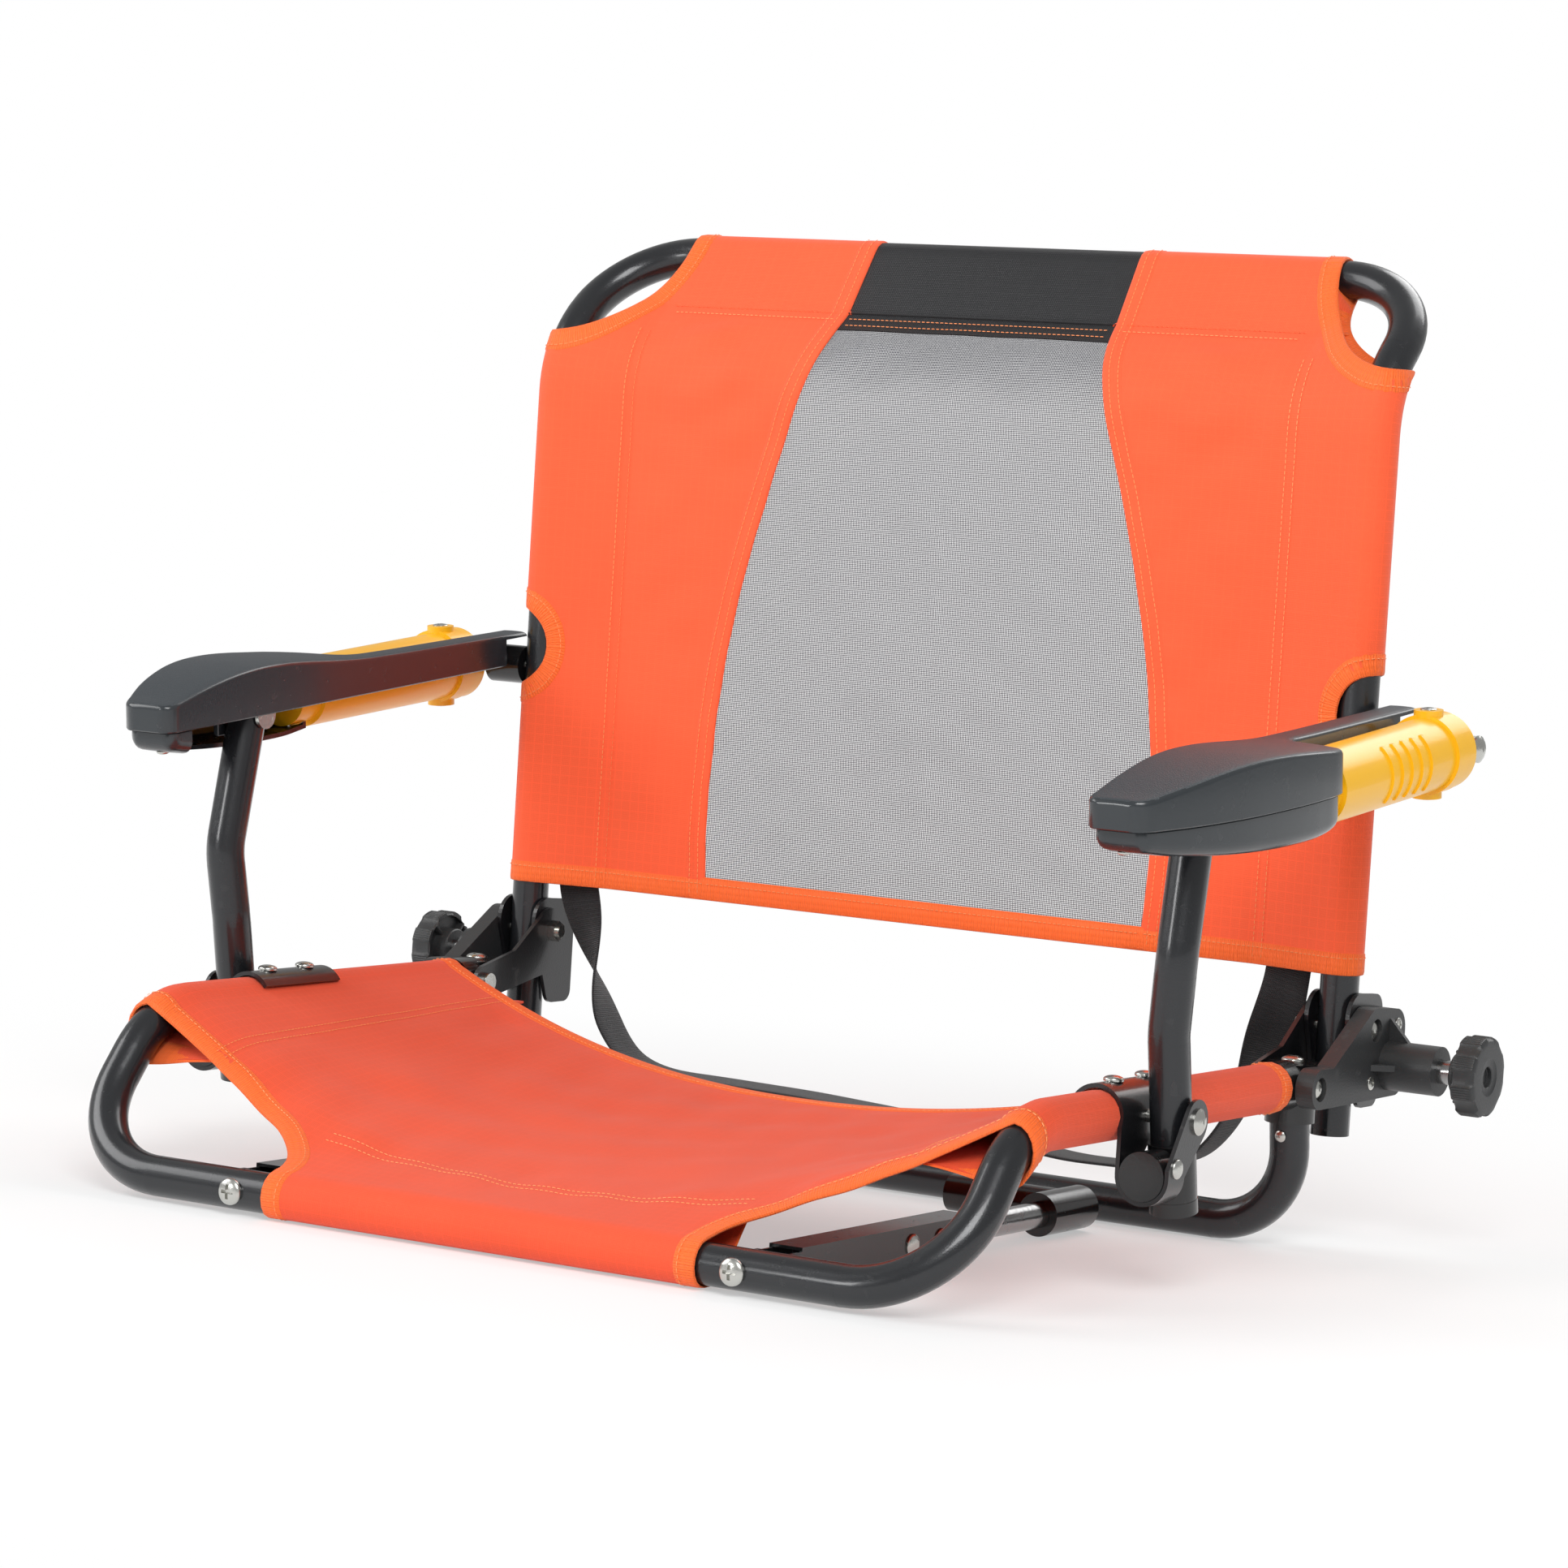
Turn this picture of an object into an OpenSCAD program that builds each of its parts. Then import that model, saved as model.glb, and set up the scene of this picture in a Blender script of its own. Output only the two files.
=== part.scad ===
// Rocking bleacher seat: a sling seat and back on steel tube, with sprung arms.
// +Z is up, +X is to the right as seen from the front, and the front faces -Y.
// The origin is on the floor, under the middle of the whole seat.

/* [Tubes and cloth] */
// Outside diameter of the frame tubes
tube_d = 19; // [18:0.5:20]
// Wall of the frame tubes
tube_wall = 1.2; // [1:0.1:1.6]
// Thickness of the sling cloth
cloth = 1.1; // [0.8:0.1:1.4]

/* [Seat frame] */
// Distance between the axes of the two seat rails
frame_width = 474; // [440:2:520]
// Distance from the rear floor bar to the front bar
seat_depth = 331; // [310:1:360]
// Height of the rail axis above the floor
rail_height = 80; // [76:1:88]
// Bend radius of the rail where it turns down
rail_bend = 50; // [45:1:55]
// Bend radius of the front corners
front_bend = 50; // [44:1:52]
// Run of the front legs from the rail's bend point to the front bar
front_run = 55; // [50:1:62]
// Bend radius of the rear floor bar
leg_bend = 40; // [34:1:46]
// Depth of the sag at the middle of the seat
seat_sag = 36; // [25:1:45]

/* [Back frame] */
// Height of the back pivot above the floor
pivot_height = 104.7; // [100:0.5:110]
// Distance of the back tube behind the rear floor bar
back_offset = 37; // [34:1:42]
// Height of the point where the back bends rearward
back_bend_height = 413; // [395:1:430]
// Height of the top bar's axis
top_height = 466; // [455:1:485]
// Distance of the top bar behind the back tubes
top_sweep = 57; // [50:1:62]
// Bend radius where the back turns rearward
sweep_bend = 55; // [45:1:57]
// Bend radius of the top corners
top_bend = 50; // [42:1:51]
// Height of the back cloth's lower edge
back_cloth_low = 131; // [128:1:140]

/* [Rocker and recline lock] */
// Distance of the rocking pivot in front of the rear floor bar
rocker_offset = 21; // [19:0.5:24]
// Thickness of the moulded lock housing
housing_t = 9; // [8:0.5:11]
// Length of the plunger boss
boss_length = 27.5; // [24:0.5:32]
// Diameter of the plunger boss
boss_d = 24; // [22:0.5:26]
// Diameter of the plunger's shaft
plunger_d = 11.7; // [10:0.1:12.5]
// Diameter of the pull knob
knob_d = 39.5; // [34:0.5:44]
// Recline travel in degrees, which sets the length of the index slot
recline_angle = 8; // [5:1:9]

/* [Arms] */
// Height of the arm pivot bolt on the back tube
arm_pivot_height = 244; // [236:1:250]
// Distance of the post pivots in front of the rear floor bar
post_offset = 181; // [176:1:188]
// Distance from the middle of the seat to the spring housing's axis
housing_x = 286; // [285:0.5:290]
// Diameter of the spring housing
housing_d = 35; // [33:0.5:36]
// Length of the arm from its rear pivot to the nose
arm_length = 299; // [290:1:315]
// Distance from the middle of the seat to the arm's inner face
arm_inner_x = 251; // [250.5:0.5:252]
// Distance from the middle of the seat to the arm's outer face
arm_outer_x = 306; // [305:0.5:309]
// Wall of the moulded arm shells
shell_wall = 2.4; // [2:0.1:3]
// Diameter of the piston rod
rod_d = 8; // [7:0.5:9]

/* [Posts and brackets] */
// Distance from the middle of the seat to the post's foot
post_x = 261.5; // [261.5:0.5:263]
// Amount that the post bows forward
post_bow = 8; // [5:0.5:10]
// Length of the strap bracket along the rail
bracket_length = 60; // [54:1:66]
// Thickness of the bracket's sheet
bracket_t = 2; // [1.6:0.1:2.2]

/* [Bench hook] */
// Distance from the middle of the seat to each hook
hook_x = 141; // [136:1:150]
// Length of the hook's channel
hook_channel_length = 160; // [140:2:175]
// Diameter of the hook's rod
hook_rod_d = 12.6; // [11:0.2:13]
// Diameter of the hook's plastic grip
hook_grip_d = 21; // [18:0.5:21]

/* [Carry strap] */
// Width of the webbing
strap_width = 24; // [20:1:25]
// Thickness of the webbing
strap_t = 1.6; // [1.4:0.1:2]

/* [Hidden] */
$fn = 48;

// Running clearance on radius, gap between still faces, and gap under cloth
run_fit = 0.05;
gap = 0.3;
cloth_gap = 0.3;

// Places worked out from the driving sizes
// The rear bar lies so that the origin is midway between the front screw heads and the top sleeve
hook_head = 3.4;
tube_r = tube_d / 2;
sleeve_in = tube_r + cloth_gap;
sleeve_r = sleeve_in + cloth;
rear_y = (seat_depth + tube_r + hook_head - back_offset - top_sweep - sleeve_r) / 2;
rail_x = frame_width / 2;
front_y = rear_y - seat_depth;
front_z = sleeve_r;
rail_vertex_y = front_y + front_run;
leg_z = tube_r;
leg_top_y = rear_y - 9.5;
leg_top_z = rail_height - tube_r - 1;
rail_end_y = leg_top_y - 4.5;
back_y = rear_y + back_offset;
top_y = back_y + top_sweep;
tail_z = 55;
rocker_y = rear_y - rocker_offset;
rocker_z = rail_height + 0.4;
post_y = rear_y - post_offset;
post_z = rail_height;
arm_rise = arm_pivot_height - pivot_height;
post_top_z = post_z + arm_rise;
arm_tilt = atan((arm_pivot_height - post_top_z) / (back_y - post_y));
post_top_s = norm([back_y - post_y, arm_pivot_height - post_top_z]);
post_top_x = post_x + 2.5;

// Layers across the rocker, from the tube outward and inward
flange_t = 2.2;
link_t = 2.4;
outer_flange_x = rail_x + tube_r + gap;
housing_in_x = outer_flange_x + flange_t + gap;
housing_out_x = housing_in_x + housing_t;
boss_end_x = housing_out_x + boss_length;
inner_flange_x = rail_x - tube_r - gap - flange_t;
link_x = inner_flange_x - gap - link_t;
connector_half = housing_in_x - gap - rail_x;
plunger_y = back_y + 16;
plunger_z = pivot_height - 17.7;
tip_d = 8;
plunger_travel = 8;
knob_gap = 8.3;
knob_hub = 6;
knob_rim = 11;
knob_x = boss_end_x + knob_gap;
bolt_d = 6;
arm_bolt_d = 10;

function unit(v) = v / norm(v);

// Cylinder from point a to point b
module rod(a, b, d) {
    v = b - a;
    translate(a)
        rotate([0, acos(v.z / norm(v)), atan2(v.y, v.x)])
            cylinder(h = norm(v), d = d);
}

// Rod along X from x0 to x1 at a place in the side view
module xrod(x0, x1, y, z, d) {
    translate([x0, y, z])
        rotate([0, 90, 0])
            cylinder(h = x1 - x0, d = d);
}

// Solid bend that joins the lines p-q and q-r with a radius
module elbow(p, q, r, radius, d) {
    d1 = unit(q - p);
    d2 = unit(r - q);
    turn = acos(d1 * d2);
    n = unit(d2 - (d2 * d1) * d1);
    start = q - d1 * radius * tan(turn / 2);
    c = start + n * radius;
    w = cross(-n, d1);
    multmatrix([[-n.x, d1.x, w.x, c.x],
                [-n.y, d1.y, w.y, c.y],
                [-n.z, d1.z, w.z, c.z],
                [0, 0, 0, 1]])
        rotate_extrude(angle = turn)
            translate([radius, 0])
                circle(d = d);
}

function bend_turn(p, q, r) = acos(unit(q - p) * unit(r - q));
function setback(path, bends, i) =
    (i == 0 || i == len(path) - 1) ? 0
    : bends[i] * tan(bend_turn(path[i - 1], path[i], path[i + 1]) / 2);

// Solid bar along a bent path, longer by extra at both ends
module bar(path, bends, d, extra = 0) {
    last = len(path) - 1;
    for (i = [0 : last - 1]) {
        u = unit(path[i + 1] - path[i]);
        a = path[i] + u * (setback(path, bends, i) - (i == 0 ? extra : 0));
        b = path[i + 1] - u * (setback(path, bends, i + 1) - (i == last - 1 ? extra : 0));
        rod(a, b, d);
    }
    for (i = [1 : last - 1])
        elbow(path[i - 1], path[i], path[i + 1], bends[i], d);
}

// Hollow straight run and hollow bend, whose ends lap into the runs beside it
lap = 0.5;
step = 0.04;
module run(a, b, d, wall) {
    u = unit(b - a);
    difference() {
        rod(a, b, d);
        rod(a - u, b + u, d - 2 * wall);
    }
}

module bend(p, q, r, radius, d, wall) {
    d1 = unit(q - p);
    d2 = unit(r - q);
    turn = acos(d1 * d2);
    n = unit(d2 - (d2 * d1) * d1);
    c = q - d1 * radius * tan(turn / 2) + n * radius;
    w = cross(-n, d1);
    multmatrix([[-n.x, d1.x, w.x, c.x],
                [-n.y, d1.y, w.y, c.y],
                [-n.z, d1.z, w.z, c.z],
                [0, 0, 0, 1]])
        hoop(radius, turn, d, wall);
}

// Part of a hollow ring about Z, from just before 0 to just past the turn
module hoop(radius, turn, d, wall) {
    extra = lap / radius * 180 / PI;
    rotate([0, 0, -extra])
        rotate_extrude(angle = turn + 2 * extra)
            translate([radius, 0])
                difference() {
                    circle(r = d / 2 - step);
                    circle(r = d / 2 - wall + step);
                }
}

module pipe(path, bends, d, wall) {
    last = len(path) - 1;
    for (i = [0 : last - 1]) {
        u = unit(path[i + 1] - path[i]);
        run(path[i] + u * setback(path, bends, i), path[i + 1] - u * setback(path, bends, i + 1), d, wall);
    }
    for (i = [1 : last - 1])
        bend(path[i - 1], path[i], path[i + 1], bends[i], d, wall);
}

module both() {
    children();
    mirror([1, 0, 0]) children();
}

module left() {
    mirror([1, 0, 0]) children();
}

// Outline in the side view (y, z), stretched along X from x0 to x1
module side_plate(x0, x1) {
    translate([x0, 0, 0])
        rotate([90, 0, 90])
            linear_extrude(height = x1 - x0)
                children();
}

// Outline in the front view (x, z), stretched along Y from y0 to y1
module front_plate(y0, y1) {
    translate([0, y1, 0])
        rotate([90, 0, 0])
            linear_extrude(height = y1 - y0)
                children();
}

// Pan head on a shank along +X, with the head's underside at x
module pan_screw_x(x, y, z, shank, d, head_d, head_h) {
    xrod(x - shank, x, y, z, d);
    translate([x, y, z])
        rotate([0, 90, 0])
            dome(head_d, head_h);
}

// Round head: a low cylinder under a cap
module dome(d, h) {
    $fn = 96;
    rim_r = d * 0.51;
    cap_r = (rim_r * rim_r + h * h * 0.49) / (2 * h * 0.7);
    cylinder(h = h * 0.3, d = d);
    translate([0, 0, h * 0.3])
        intersection() {
            cylinder(h = h * 0.7, d = d);
            translate([0, 0, h * 0.7 - cap_r]) sphere(r = cap_r);
        }
}

// Helical spring of round wire along +Z, as one swept tube
function spring_ring(mean_r, wire_r, a, z, sides) =
    [for (k = [0 : sides - 1])
        let (b = 360 * k / sides, r = mean_r + wire_r * cos(b))
        [r * cos(a), r * sin(a), z + wire_r * sin(b)]];

module helix(mean_r, wire_d, turns, length) {
    per_turn = 14;
    sides = 6;
    steps = turns * per_turn;
    rise = length - wire_d;
    points = [for (i = [0 : steps])
        each spring_ring(mean_r, wire_d / 2, 360 * i / per_turn, wire_d / 2 + rise * i / steps, sides)];
    skin = [for (i = [0 : steps - 1], k = [0 : sides - 1])
        each let (a = i * sides + k, b = i * sides + (k + 1) % sides, c = a + sides, d = b + sides)
            [[a, c, b], [b, c, d]]];
    first = [for (k = [1 : sides - 2]) [0, k, k + 1]];
    end = steps * sides;
    last = [for (k = [1 : sides - 2]) [end, end + k + 1, end + k]];
    polyhedron(points, concat(skin, first, last));
}

// Paths of the bent tubes
rail_path = [[rail_x, rail_end_y, rail_height],
             [rail_x, rail_vertex_y, rail_height],
             [rail_x, front_y, front_z],
             [-rail_x, front_y, front_z],
             [-rail_x, rail_vertex_y, rail_height],
             [-rail_x, rail_end_y, rail_height]];
rail_bends = [0, rail_bend, front_bend, front_bend, rail_bend, 0];
leg_path = [[rail_x, leg_top_y, leg_top_z],
            [rail_x, rear_y, leg_z],
            [-rail_x, rear_y, leg_z],
            [-rail_x, leg_top_y, leg_top_z]];
leg_bends = [0, leg_bend, leg_bend, 0];
back_path = [[rail_x, back_y, tail_z],
             [rail_x, back_y, back_bend_height],
             [rail_x, top_y, top_height],
             [-rail_x, top_y, top_height],
             [-rail_x, back_y, back_bend_height],
             [-rail_x, back_y, tail_z]];
back_bends = [0, sweep_bend, top_bend, top_bend, sweep_bend, 0];

// Seat body

module seat_frame() {
    color([0.19, 0.20, 0.22])
        difference() {
            pipe(rail_path, rail_bends, tube_d, tube_wall);
            both() {
                xrod(rail_x - tube_d, rail_x + tube_d, rocker_y, rocker_z, bolt_d + 2 * run_fit);
                translate([hook_screw_x, front_y, front_z])
                    rotate([90, 0, 0])
                        cylinder(h = 2 * tube_d, d = bolt_d + 2 * run_fit, center = true);
            }
        }
}

module floor_leg() {
    color([0.19, 0.20, 0.22])
        pipe(leg_path, leg_bends, tube_d, tube_wall);
}

connector_r = connector_half;
connector_low = rail_height - 18;
connector_top = rail_height + 10.6;
connector_front = rocker_y - 11;
socket_fit = 0.1;
connector_head_d = 11;

// Direction of the leg, from its top down
leg_dir = unit([0, rear_y - leg_top_y, leg_z - leg_top_z]);

module connector() {
    low = [rail_x, leg_top_y, leg_top_z] + leg_dir * (leg_top_z - connector_low);
    difference() {
        union() {
            rod(low, [rail_x, leg_top_y, connector_top], 2 * connector_r);
            rod([rail_x, connector_front, rail_height],
                [rail_x, leg_top_y, rail_height], 2 * connector_r);
        }
        rod([rail_x, leg_top_y, leg_top_z] + leg_dir * 40,
            [rail_x, leg_top_y, leg_top_z] - leg_dir * socket_fit, tube_d + 2 * socket_fit);
        rod([rail_x, connector_front - 1, rail_height],
            [rail_x, rail_end_y + socket_fit, rail_height], tube_d + 2 * socket_fit);
        xrod(rail_x - tube_d, rail_x + tube_d, rocker_y, rocker_z, bolt_d + 2 * run_fit);
        translate([rail_x, leg_top_y, connector_top - 0.01]) cylinder(h = 5, d = connector_head_d + 2 * run_fit);
    }
}
module rail_connectors() {
    color([0.09, 0.09, 0.10])
        both() connector();
}

module connector_screws() {
    color("silver")
        both()
            translate([rail_x, leg_top_y, connector_top])
                dome(connector_head_d, 3.2);
}

leg_screw_z = connector_low - 5;
module leg_screws() {
    drop = (leg_top_z - leg_screw_z) / -leg_dir.z;
    at = [rail_x, leg_top_y, leg_top_z] + leg_dir * drop;
    out = unit([0, leg_dir.z, -leg_dir.y]);
    color("silver")
        both()
            translate(at + out * (tube_r + run_fit))
                rotate([atan2(-out.y, out.z), 0, 0])
                    dome(5.5, 1.6);
}

// Seat sling: a sagging sheet, a sleeve on each rail, a sleeve on the front bar and an under flap
rail_cloth_y = connector_front - 0.6;
rear_scoop = 30;
arc_y = rail_vertex_y + setback(rail_path, rail_bends, 1);
arc_z = rail_height - rail_bend;
corner_cut_x = 120;
corner_cut_y = 50;
front_cloth_x = rail_x - corner_cut_x;
sheet_lift = cloth_gap;
sheet_r = sleeve_r + sheet_lift;
sag_power = 2.2;
centre_rear_z = rail_height + sleeve_r - seat_sag - 4;
centre_front_z = front_z + sheet_r;

// Height of the cloth over a rail at (x, y), as the skin of the rail's bend
function rail_skin(x, y) =
    let (w = sqrt(max(0, sheet_r * sheet_r - (rail_x - x) * (rail_x - x))))
    y > arc_y ? rail_height + w
    : arc_z + sqrt(max(1, (rail_bend + w) * (rail_bend + w) - (arc_y - y) * (arc_y - y)));

// Half width of the sheet at y, drawn in past the corner cut
cut_y = front_y + corner_cut_y;
function sheet_half(y) =
    y >= cut_y ? rail_x
    : max(front_cloth_x, rail_x - corner_cut_x * sqrt(max(0, 1 - pow((y - front_y) / corner_cut_y, 2))));

function edge_z(y) =
    y > cut_y ? rail_skin(rail_x, y)
    : centre_front_z + (rail_skin(rail_x, cut_y) - centre_front_z) * (y - front_y) / corner_cut_y;

function sheet_z(x, y) =
    let (t = (rail_cloth_y - y) / (rail_cloth_y - front_y),
         c = centre_rear_z + (centre_front_z - centre_rear_z) * t,
         sag = c + (edge_z(y) - c) * pow(min(1, abs(x) / rail_x), sag_power))
    (y >= cut_y && rail_x - abs(x) < sheet_r) ? max(sag, rail_skin(abs(x), y)) : sag;

sheet_u = [0, 0.16, 0.32, 0.48, 0.62, 0.74, 0.84, 0.91, 0.95, 0.97, 0.985, 1];
sheet_v = [0, 0.07, 0.16, 0.28, 0.4, 0.52, 0.63, 0.72, 0.77, 0.8,
           0.815, 0.832, 0.85, 0.87, 0.9, 0.93, 0.965, 1];
sheet_columns = concat([for (i = [len(sheet_u) - 1 : -1 : 1]) -sheet_u[i]], sheet_u);

function sheet_point(u, v, lift) =
    let (edge_y = rail_cloth_y + (front_y - rail_cloth_y) * v,
         x = u * sheet_half(edge_y),
         scoop = rear_scoop * (1 - u * u) * (1 - v),
         y = edge_y - scoop)
    [x, y, sheet_z(x, y) + lift];

module seat_sheet() {
    n = len(sheet_columns);
    m = len(sheet_v);
    low = [for (v = sheet_v, u = sheet_columns) sheet_point(u, v, 0)];
    high = [for (v = sheet_v, u = sheet_columns) sheet_point(u, v, cloth)];
    k = n * m;
    under = [for (j = [0 : m - 2], i = [0 : n - 2])
        each let (a = j * n + i) [[a, a + 1, a + n], [a + 1, a + n + 1, a + n]]];
    over = [for (f = under) [f[0] + k, f[2] + k, f[1] + k]];
    rear = [for (i = [0 : n - 2]) each [[i, i + k, i + 1], [i + 1, i + k, i + 1 + k]]];
    f0 = (m - 1) * n;
    front = [for (i = [0 : n - 2])
        each [[f0 + i, f0 + i + 1, f0 + i + k], [f0 + i + 1, f0 + i + 1 + k, f0 + i + k]]];
    side_a = [for (j = [0 : m - 2])
        each let (a = j * n, b = a + n) [[a, b, a + k], [b, b + k, a + k]]];
    side_b = [for (j = [0 : m - 2])
        each let (a = j * n + n - 1, b = a + n) [[a, a + k, b], [b, a + k, b + k]]];
    polyhedron(concat(low, high), concat(under, over, rear, front, side_a, side_b));
}

module seat_sling() {
    color([0.92, 0.32, 0.16])
        seat_sheet();
}

// Sewn sleeves on the rails and the front bar, with a flap under each rail
flap_x = rail_x - 47;
flap_drop = 6;
module under_flap() {
    front_plate(arc_y - 2, rail_cloth_y)
        polygon([[rail_x - 1.5, rail_height - sleeve_r + 0.25], [rail_x - 1.5, rail_height - sleeve_r + 0.95],
                 [flap_x, rail_height - sleeve_r - flap_drop + cloth],
                 [flap_x, rail_height - sleeve_r - flap_drop]]);
}

module sleeve(a, b) {
    run(a, b, 2 * sleeve_r, cloth);
}

// Thinner sleeve round the start of the rail's bend, which ends short of the corner cut
corner_short = 10;
corner_thin = 0.5;
module corner_sleeve() {
    turn = asin((arc_y - cut_y - corner_short) / (rail_bend + sleeve_r));
    translate([rail_x, arc_y, arc_z])
        rotate([0, 90, 0])
            rotate([0, 0, 180])
                hoop(rail_bend, turn, 2 * (sleeve_r - corner_thin), cloth - corner_thin);
}

module seat_sleeves() {
    color([0.88, 0.30, 0.15]) {
        both() {
            sleeve([rail_x, arc_y, rail_height], [rail_x, rail_cloth_y, rail_height]);
            corner_sleeve();
            under_flap();
        }
        sleeve([-front_cloth_x, front_y, front_z], [front_cloth_x, front_y, front_z]);
    }
}

// Strap brackets, rivets and stop inserts
strap_shift = (sheet_r + cloth - sleeve_r) / 2;
strap_in = sleeve_r + gap + strap_shift;
strap_out = strap_in + bracket_t;
strap_x = rail_x - strap_shift;
strap_z = rail_height + strap_shift;
wall_x = strap_x + strap_in;
cup_r = post_x - wall_x - bracket_t;
cup_out = cup_r + bracket_t;
cup_z = rail_height - 24;
bracket_mid_y = rear_y - 175;
bracket_front = bracket_mid_y - bracket_length / 2;
bracket_rear = bracket_mid_y + bracket_length / 2;
cup_front = rear_y - 206;
cup_length = 15.5;
ear_x = post_x + cup_r;
ear_r = 10;
rivet_pitch = 30;
insert_rivet_y = cup_front + 7;
insert_rivet_z = cup_z + 4.5;
lip_angle = 146;

module ring_sector(r_in, r_out, a0, a1) {
    rotate([0, 0, a0])
        rotate_extrude(angle = a1 - a0)
            translate([r_in, 0]) square([r_out - r_in, bracket_length]);
}

module strap_bracket() {
    difference() {
        union() {
            translate([strap_x, bracket_rear, strap_z])
                rotate([90, 0, 0])
                    ring_sector(strap_in, strap_out, 0, lip_angle);
            side_plate(wall_x, wall_x + bracket_t)
                polygon([[cup_front, cup_z], [cup_front + cup_length, cup_z], [post_y + ear_r, post_z - 4],
                         [bracket_rear, post_z - 2], [bracket_rear, strap_z],
                         [bracket_front, strap_z], [cup_front, strap_z - 4]]);
            translate([post_x, cup_front + cup_length, cup_z])
                rotate([90, 0, 0])
                    difference() {
                        cylinder(h = cup_length, r = cup_out);
                        translate([0, 0, -1]) cylinder(h = cup_length + 2, r = cup_r);
                        translate([-2 * cup_out, 0, -1]) cube([4 * cup_out, 2 * cup_out, cup_length + 2]);
                    }
            side_plate(ear_x, ear_x + bracket_t)
                hull() {
                    translate([post_y, post_z]) circle(r = ear_r, $fn = 32);
                    translate([cup_front, cup_z]) square([cup_length, 4]);
                }
        }
        xrod(wall_x - 1, ear_x + 2 * bracket_t, post_y, post_z, bolt_d + 2 * run_fit);
        xrod(ear_x - 1, ear_x + 2 * bracket_t, insert_rivet_y, insert_rivet_z, 4 + 2 * run_fit);
    }
}

module strap_brackets() {
    color([0.12, 0.12, 0.13])
        both() strap_bracket();
}

module bracket_rivets() {
    color("silver")
        both()
            for (side = [-1, 1])
                translate([strap_x, bracket_mid_y + side * rivet_pitch / 2, strap_z + strap_out])
                    dome(9.5, 2.6);
}

insert_r = cup_r - 0.15;
module stop_inserts() {
    color([0.14, 0.14, 0.16])
        both()
            difference() {
                translate([post_x, cup_front + cup_length, cup_z])
                    rotate([90, 0, 0])
                        cylinder(h = cup_length + 0.5, r = insert_r);
                xrod(post_x, ear_x + 1, insert_rivet_y, insert_rivet_z, 4 + 2 * run_fit);
            }
}

module insert_rivets() {
    color("silver")
        both()
            pan_screw_x(ear_x + bracket_t, insert_rivet_y, insert_rivet_z, bracket_t + 8, 4, 9, 2.2);
}

module post_pivot_bolts() {
    color("silver")
        both()
            pan_screw_x(ear_x + bracket_t, post_y, post_z, ear_x + bracket_t - wall_x, bolt_d, 12, 3.4);
}

module rocker_bolts() {
    nut_h = 3;
    color("silver")
        both() {
            pan_screw_x(housing_out_x - 3, rocker_y, rocker_z, housing_out_x - 3 - link_x, bolt_d, 10, 2.6);
            translate([link_x - nut_h, rocker_y, rocker_z])
                rotate([0, 90, 0])
                    cylinder(h = nut_h, d = 10);
        }
}

// Bench hook: a channel pinned behind the front bar, with a rod that slides in it
hook_screw_x = hook_x - 4.6;
hook_z = 11;
hook_sheet = 1.5;
channel_half = hook_rod_d / 2 + 0.7 + hook_sheet;
hinge_y = front_y + tube_r + 9.5;
hinge_gap = 0.3;
cheek_t = 1.8;
cheek_x = channel_half + hinge_gap;
pin_d = 5;

module hook_bolts() {
    color("silver")
        both()
            translate([hook_screw_x, front_y, front_z])
                rotate([90, 0, 0]) {
                    translate([0, 0, tube_r]) dome(12.5, hook_head);
                    translate([0, 0, -tube_r - 1.6 - 2]) cylinder(h = 2 * tube_r + 1.6 + 2, d = bolt_d);
                }
}

module hook_bracket() {
    difference() {
        translate([hook_x, 0, 0]) {
            for (side = [-1, 1])
                side_plate((side - 1) / 2 * cheek_t + side * cheek_x,
                           (side + 1) / 2 * cheek_t + side * cheek_x)
                    union() {
                        translate([front_y + tube_r + gap, hook_z - 6.5])
                            square([hinge_y - front_y - tube_r, 13]);
                        translate([hinge_y, hook_z]) circle(r = 6.5);
                    }
            translate([-cheek_x - cheek_t, front_y + tube_r + gap, hook_z - 6.5])
                cube([2 * (cheek_x + cheek_t), 1.6, 13]);
        }
        xrod(hook_x - 20, hook_x + 20, hinge_y, hook_z, pin_d + 2 * run_fit);
        translate([hook_screw_x, front_y + tube_r + 5, front_z])
            rotate([90, 0, 0])
                cylinder(h = 6, d = bolt_d + 2 * run_fit);
    }
}
module hook_brackets() {
    color([0.13, 0.13, 0.14])
        both() hook_bracket();
}

module hook_pins() {
    color("silver")
        both()
            xrod(hook_x - cheek_x - cheek_t - 1, hook_x + cheek_x + cheek_t + 1, hinge_y, hook_z, pin_d);
}

// Link body

module lock_outline() {
    hull() {
        translate([rocker_y, rocker_z]) circle(r = 9.6, $fn = 32);
        translate([back_y + 25, pivot_height - 25]) circle(r = 8, $fn = 32);
    }
    hull() {
        translate([back_y, pivot_height]) circle(r = 11, $fn = 32);
        translate([back_y + 22, pivot_height - 1]) circle(r = 10.5, $fn = 32);
        translate([back_y + 25, pivot_height - 25]) circle(r = 8, $fn = 32);
        translate([back_y - 40, pivot_height - 21]) circle(r = 8, $fn = 32);
    }
}

head_pocket = 3;
cavity_d = 17;
cavity_end_x = boss_end_x - 4;
collar_x = housing_in_x + 12;
collar_t = 3;

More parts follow.
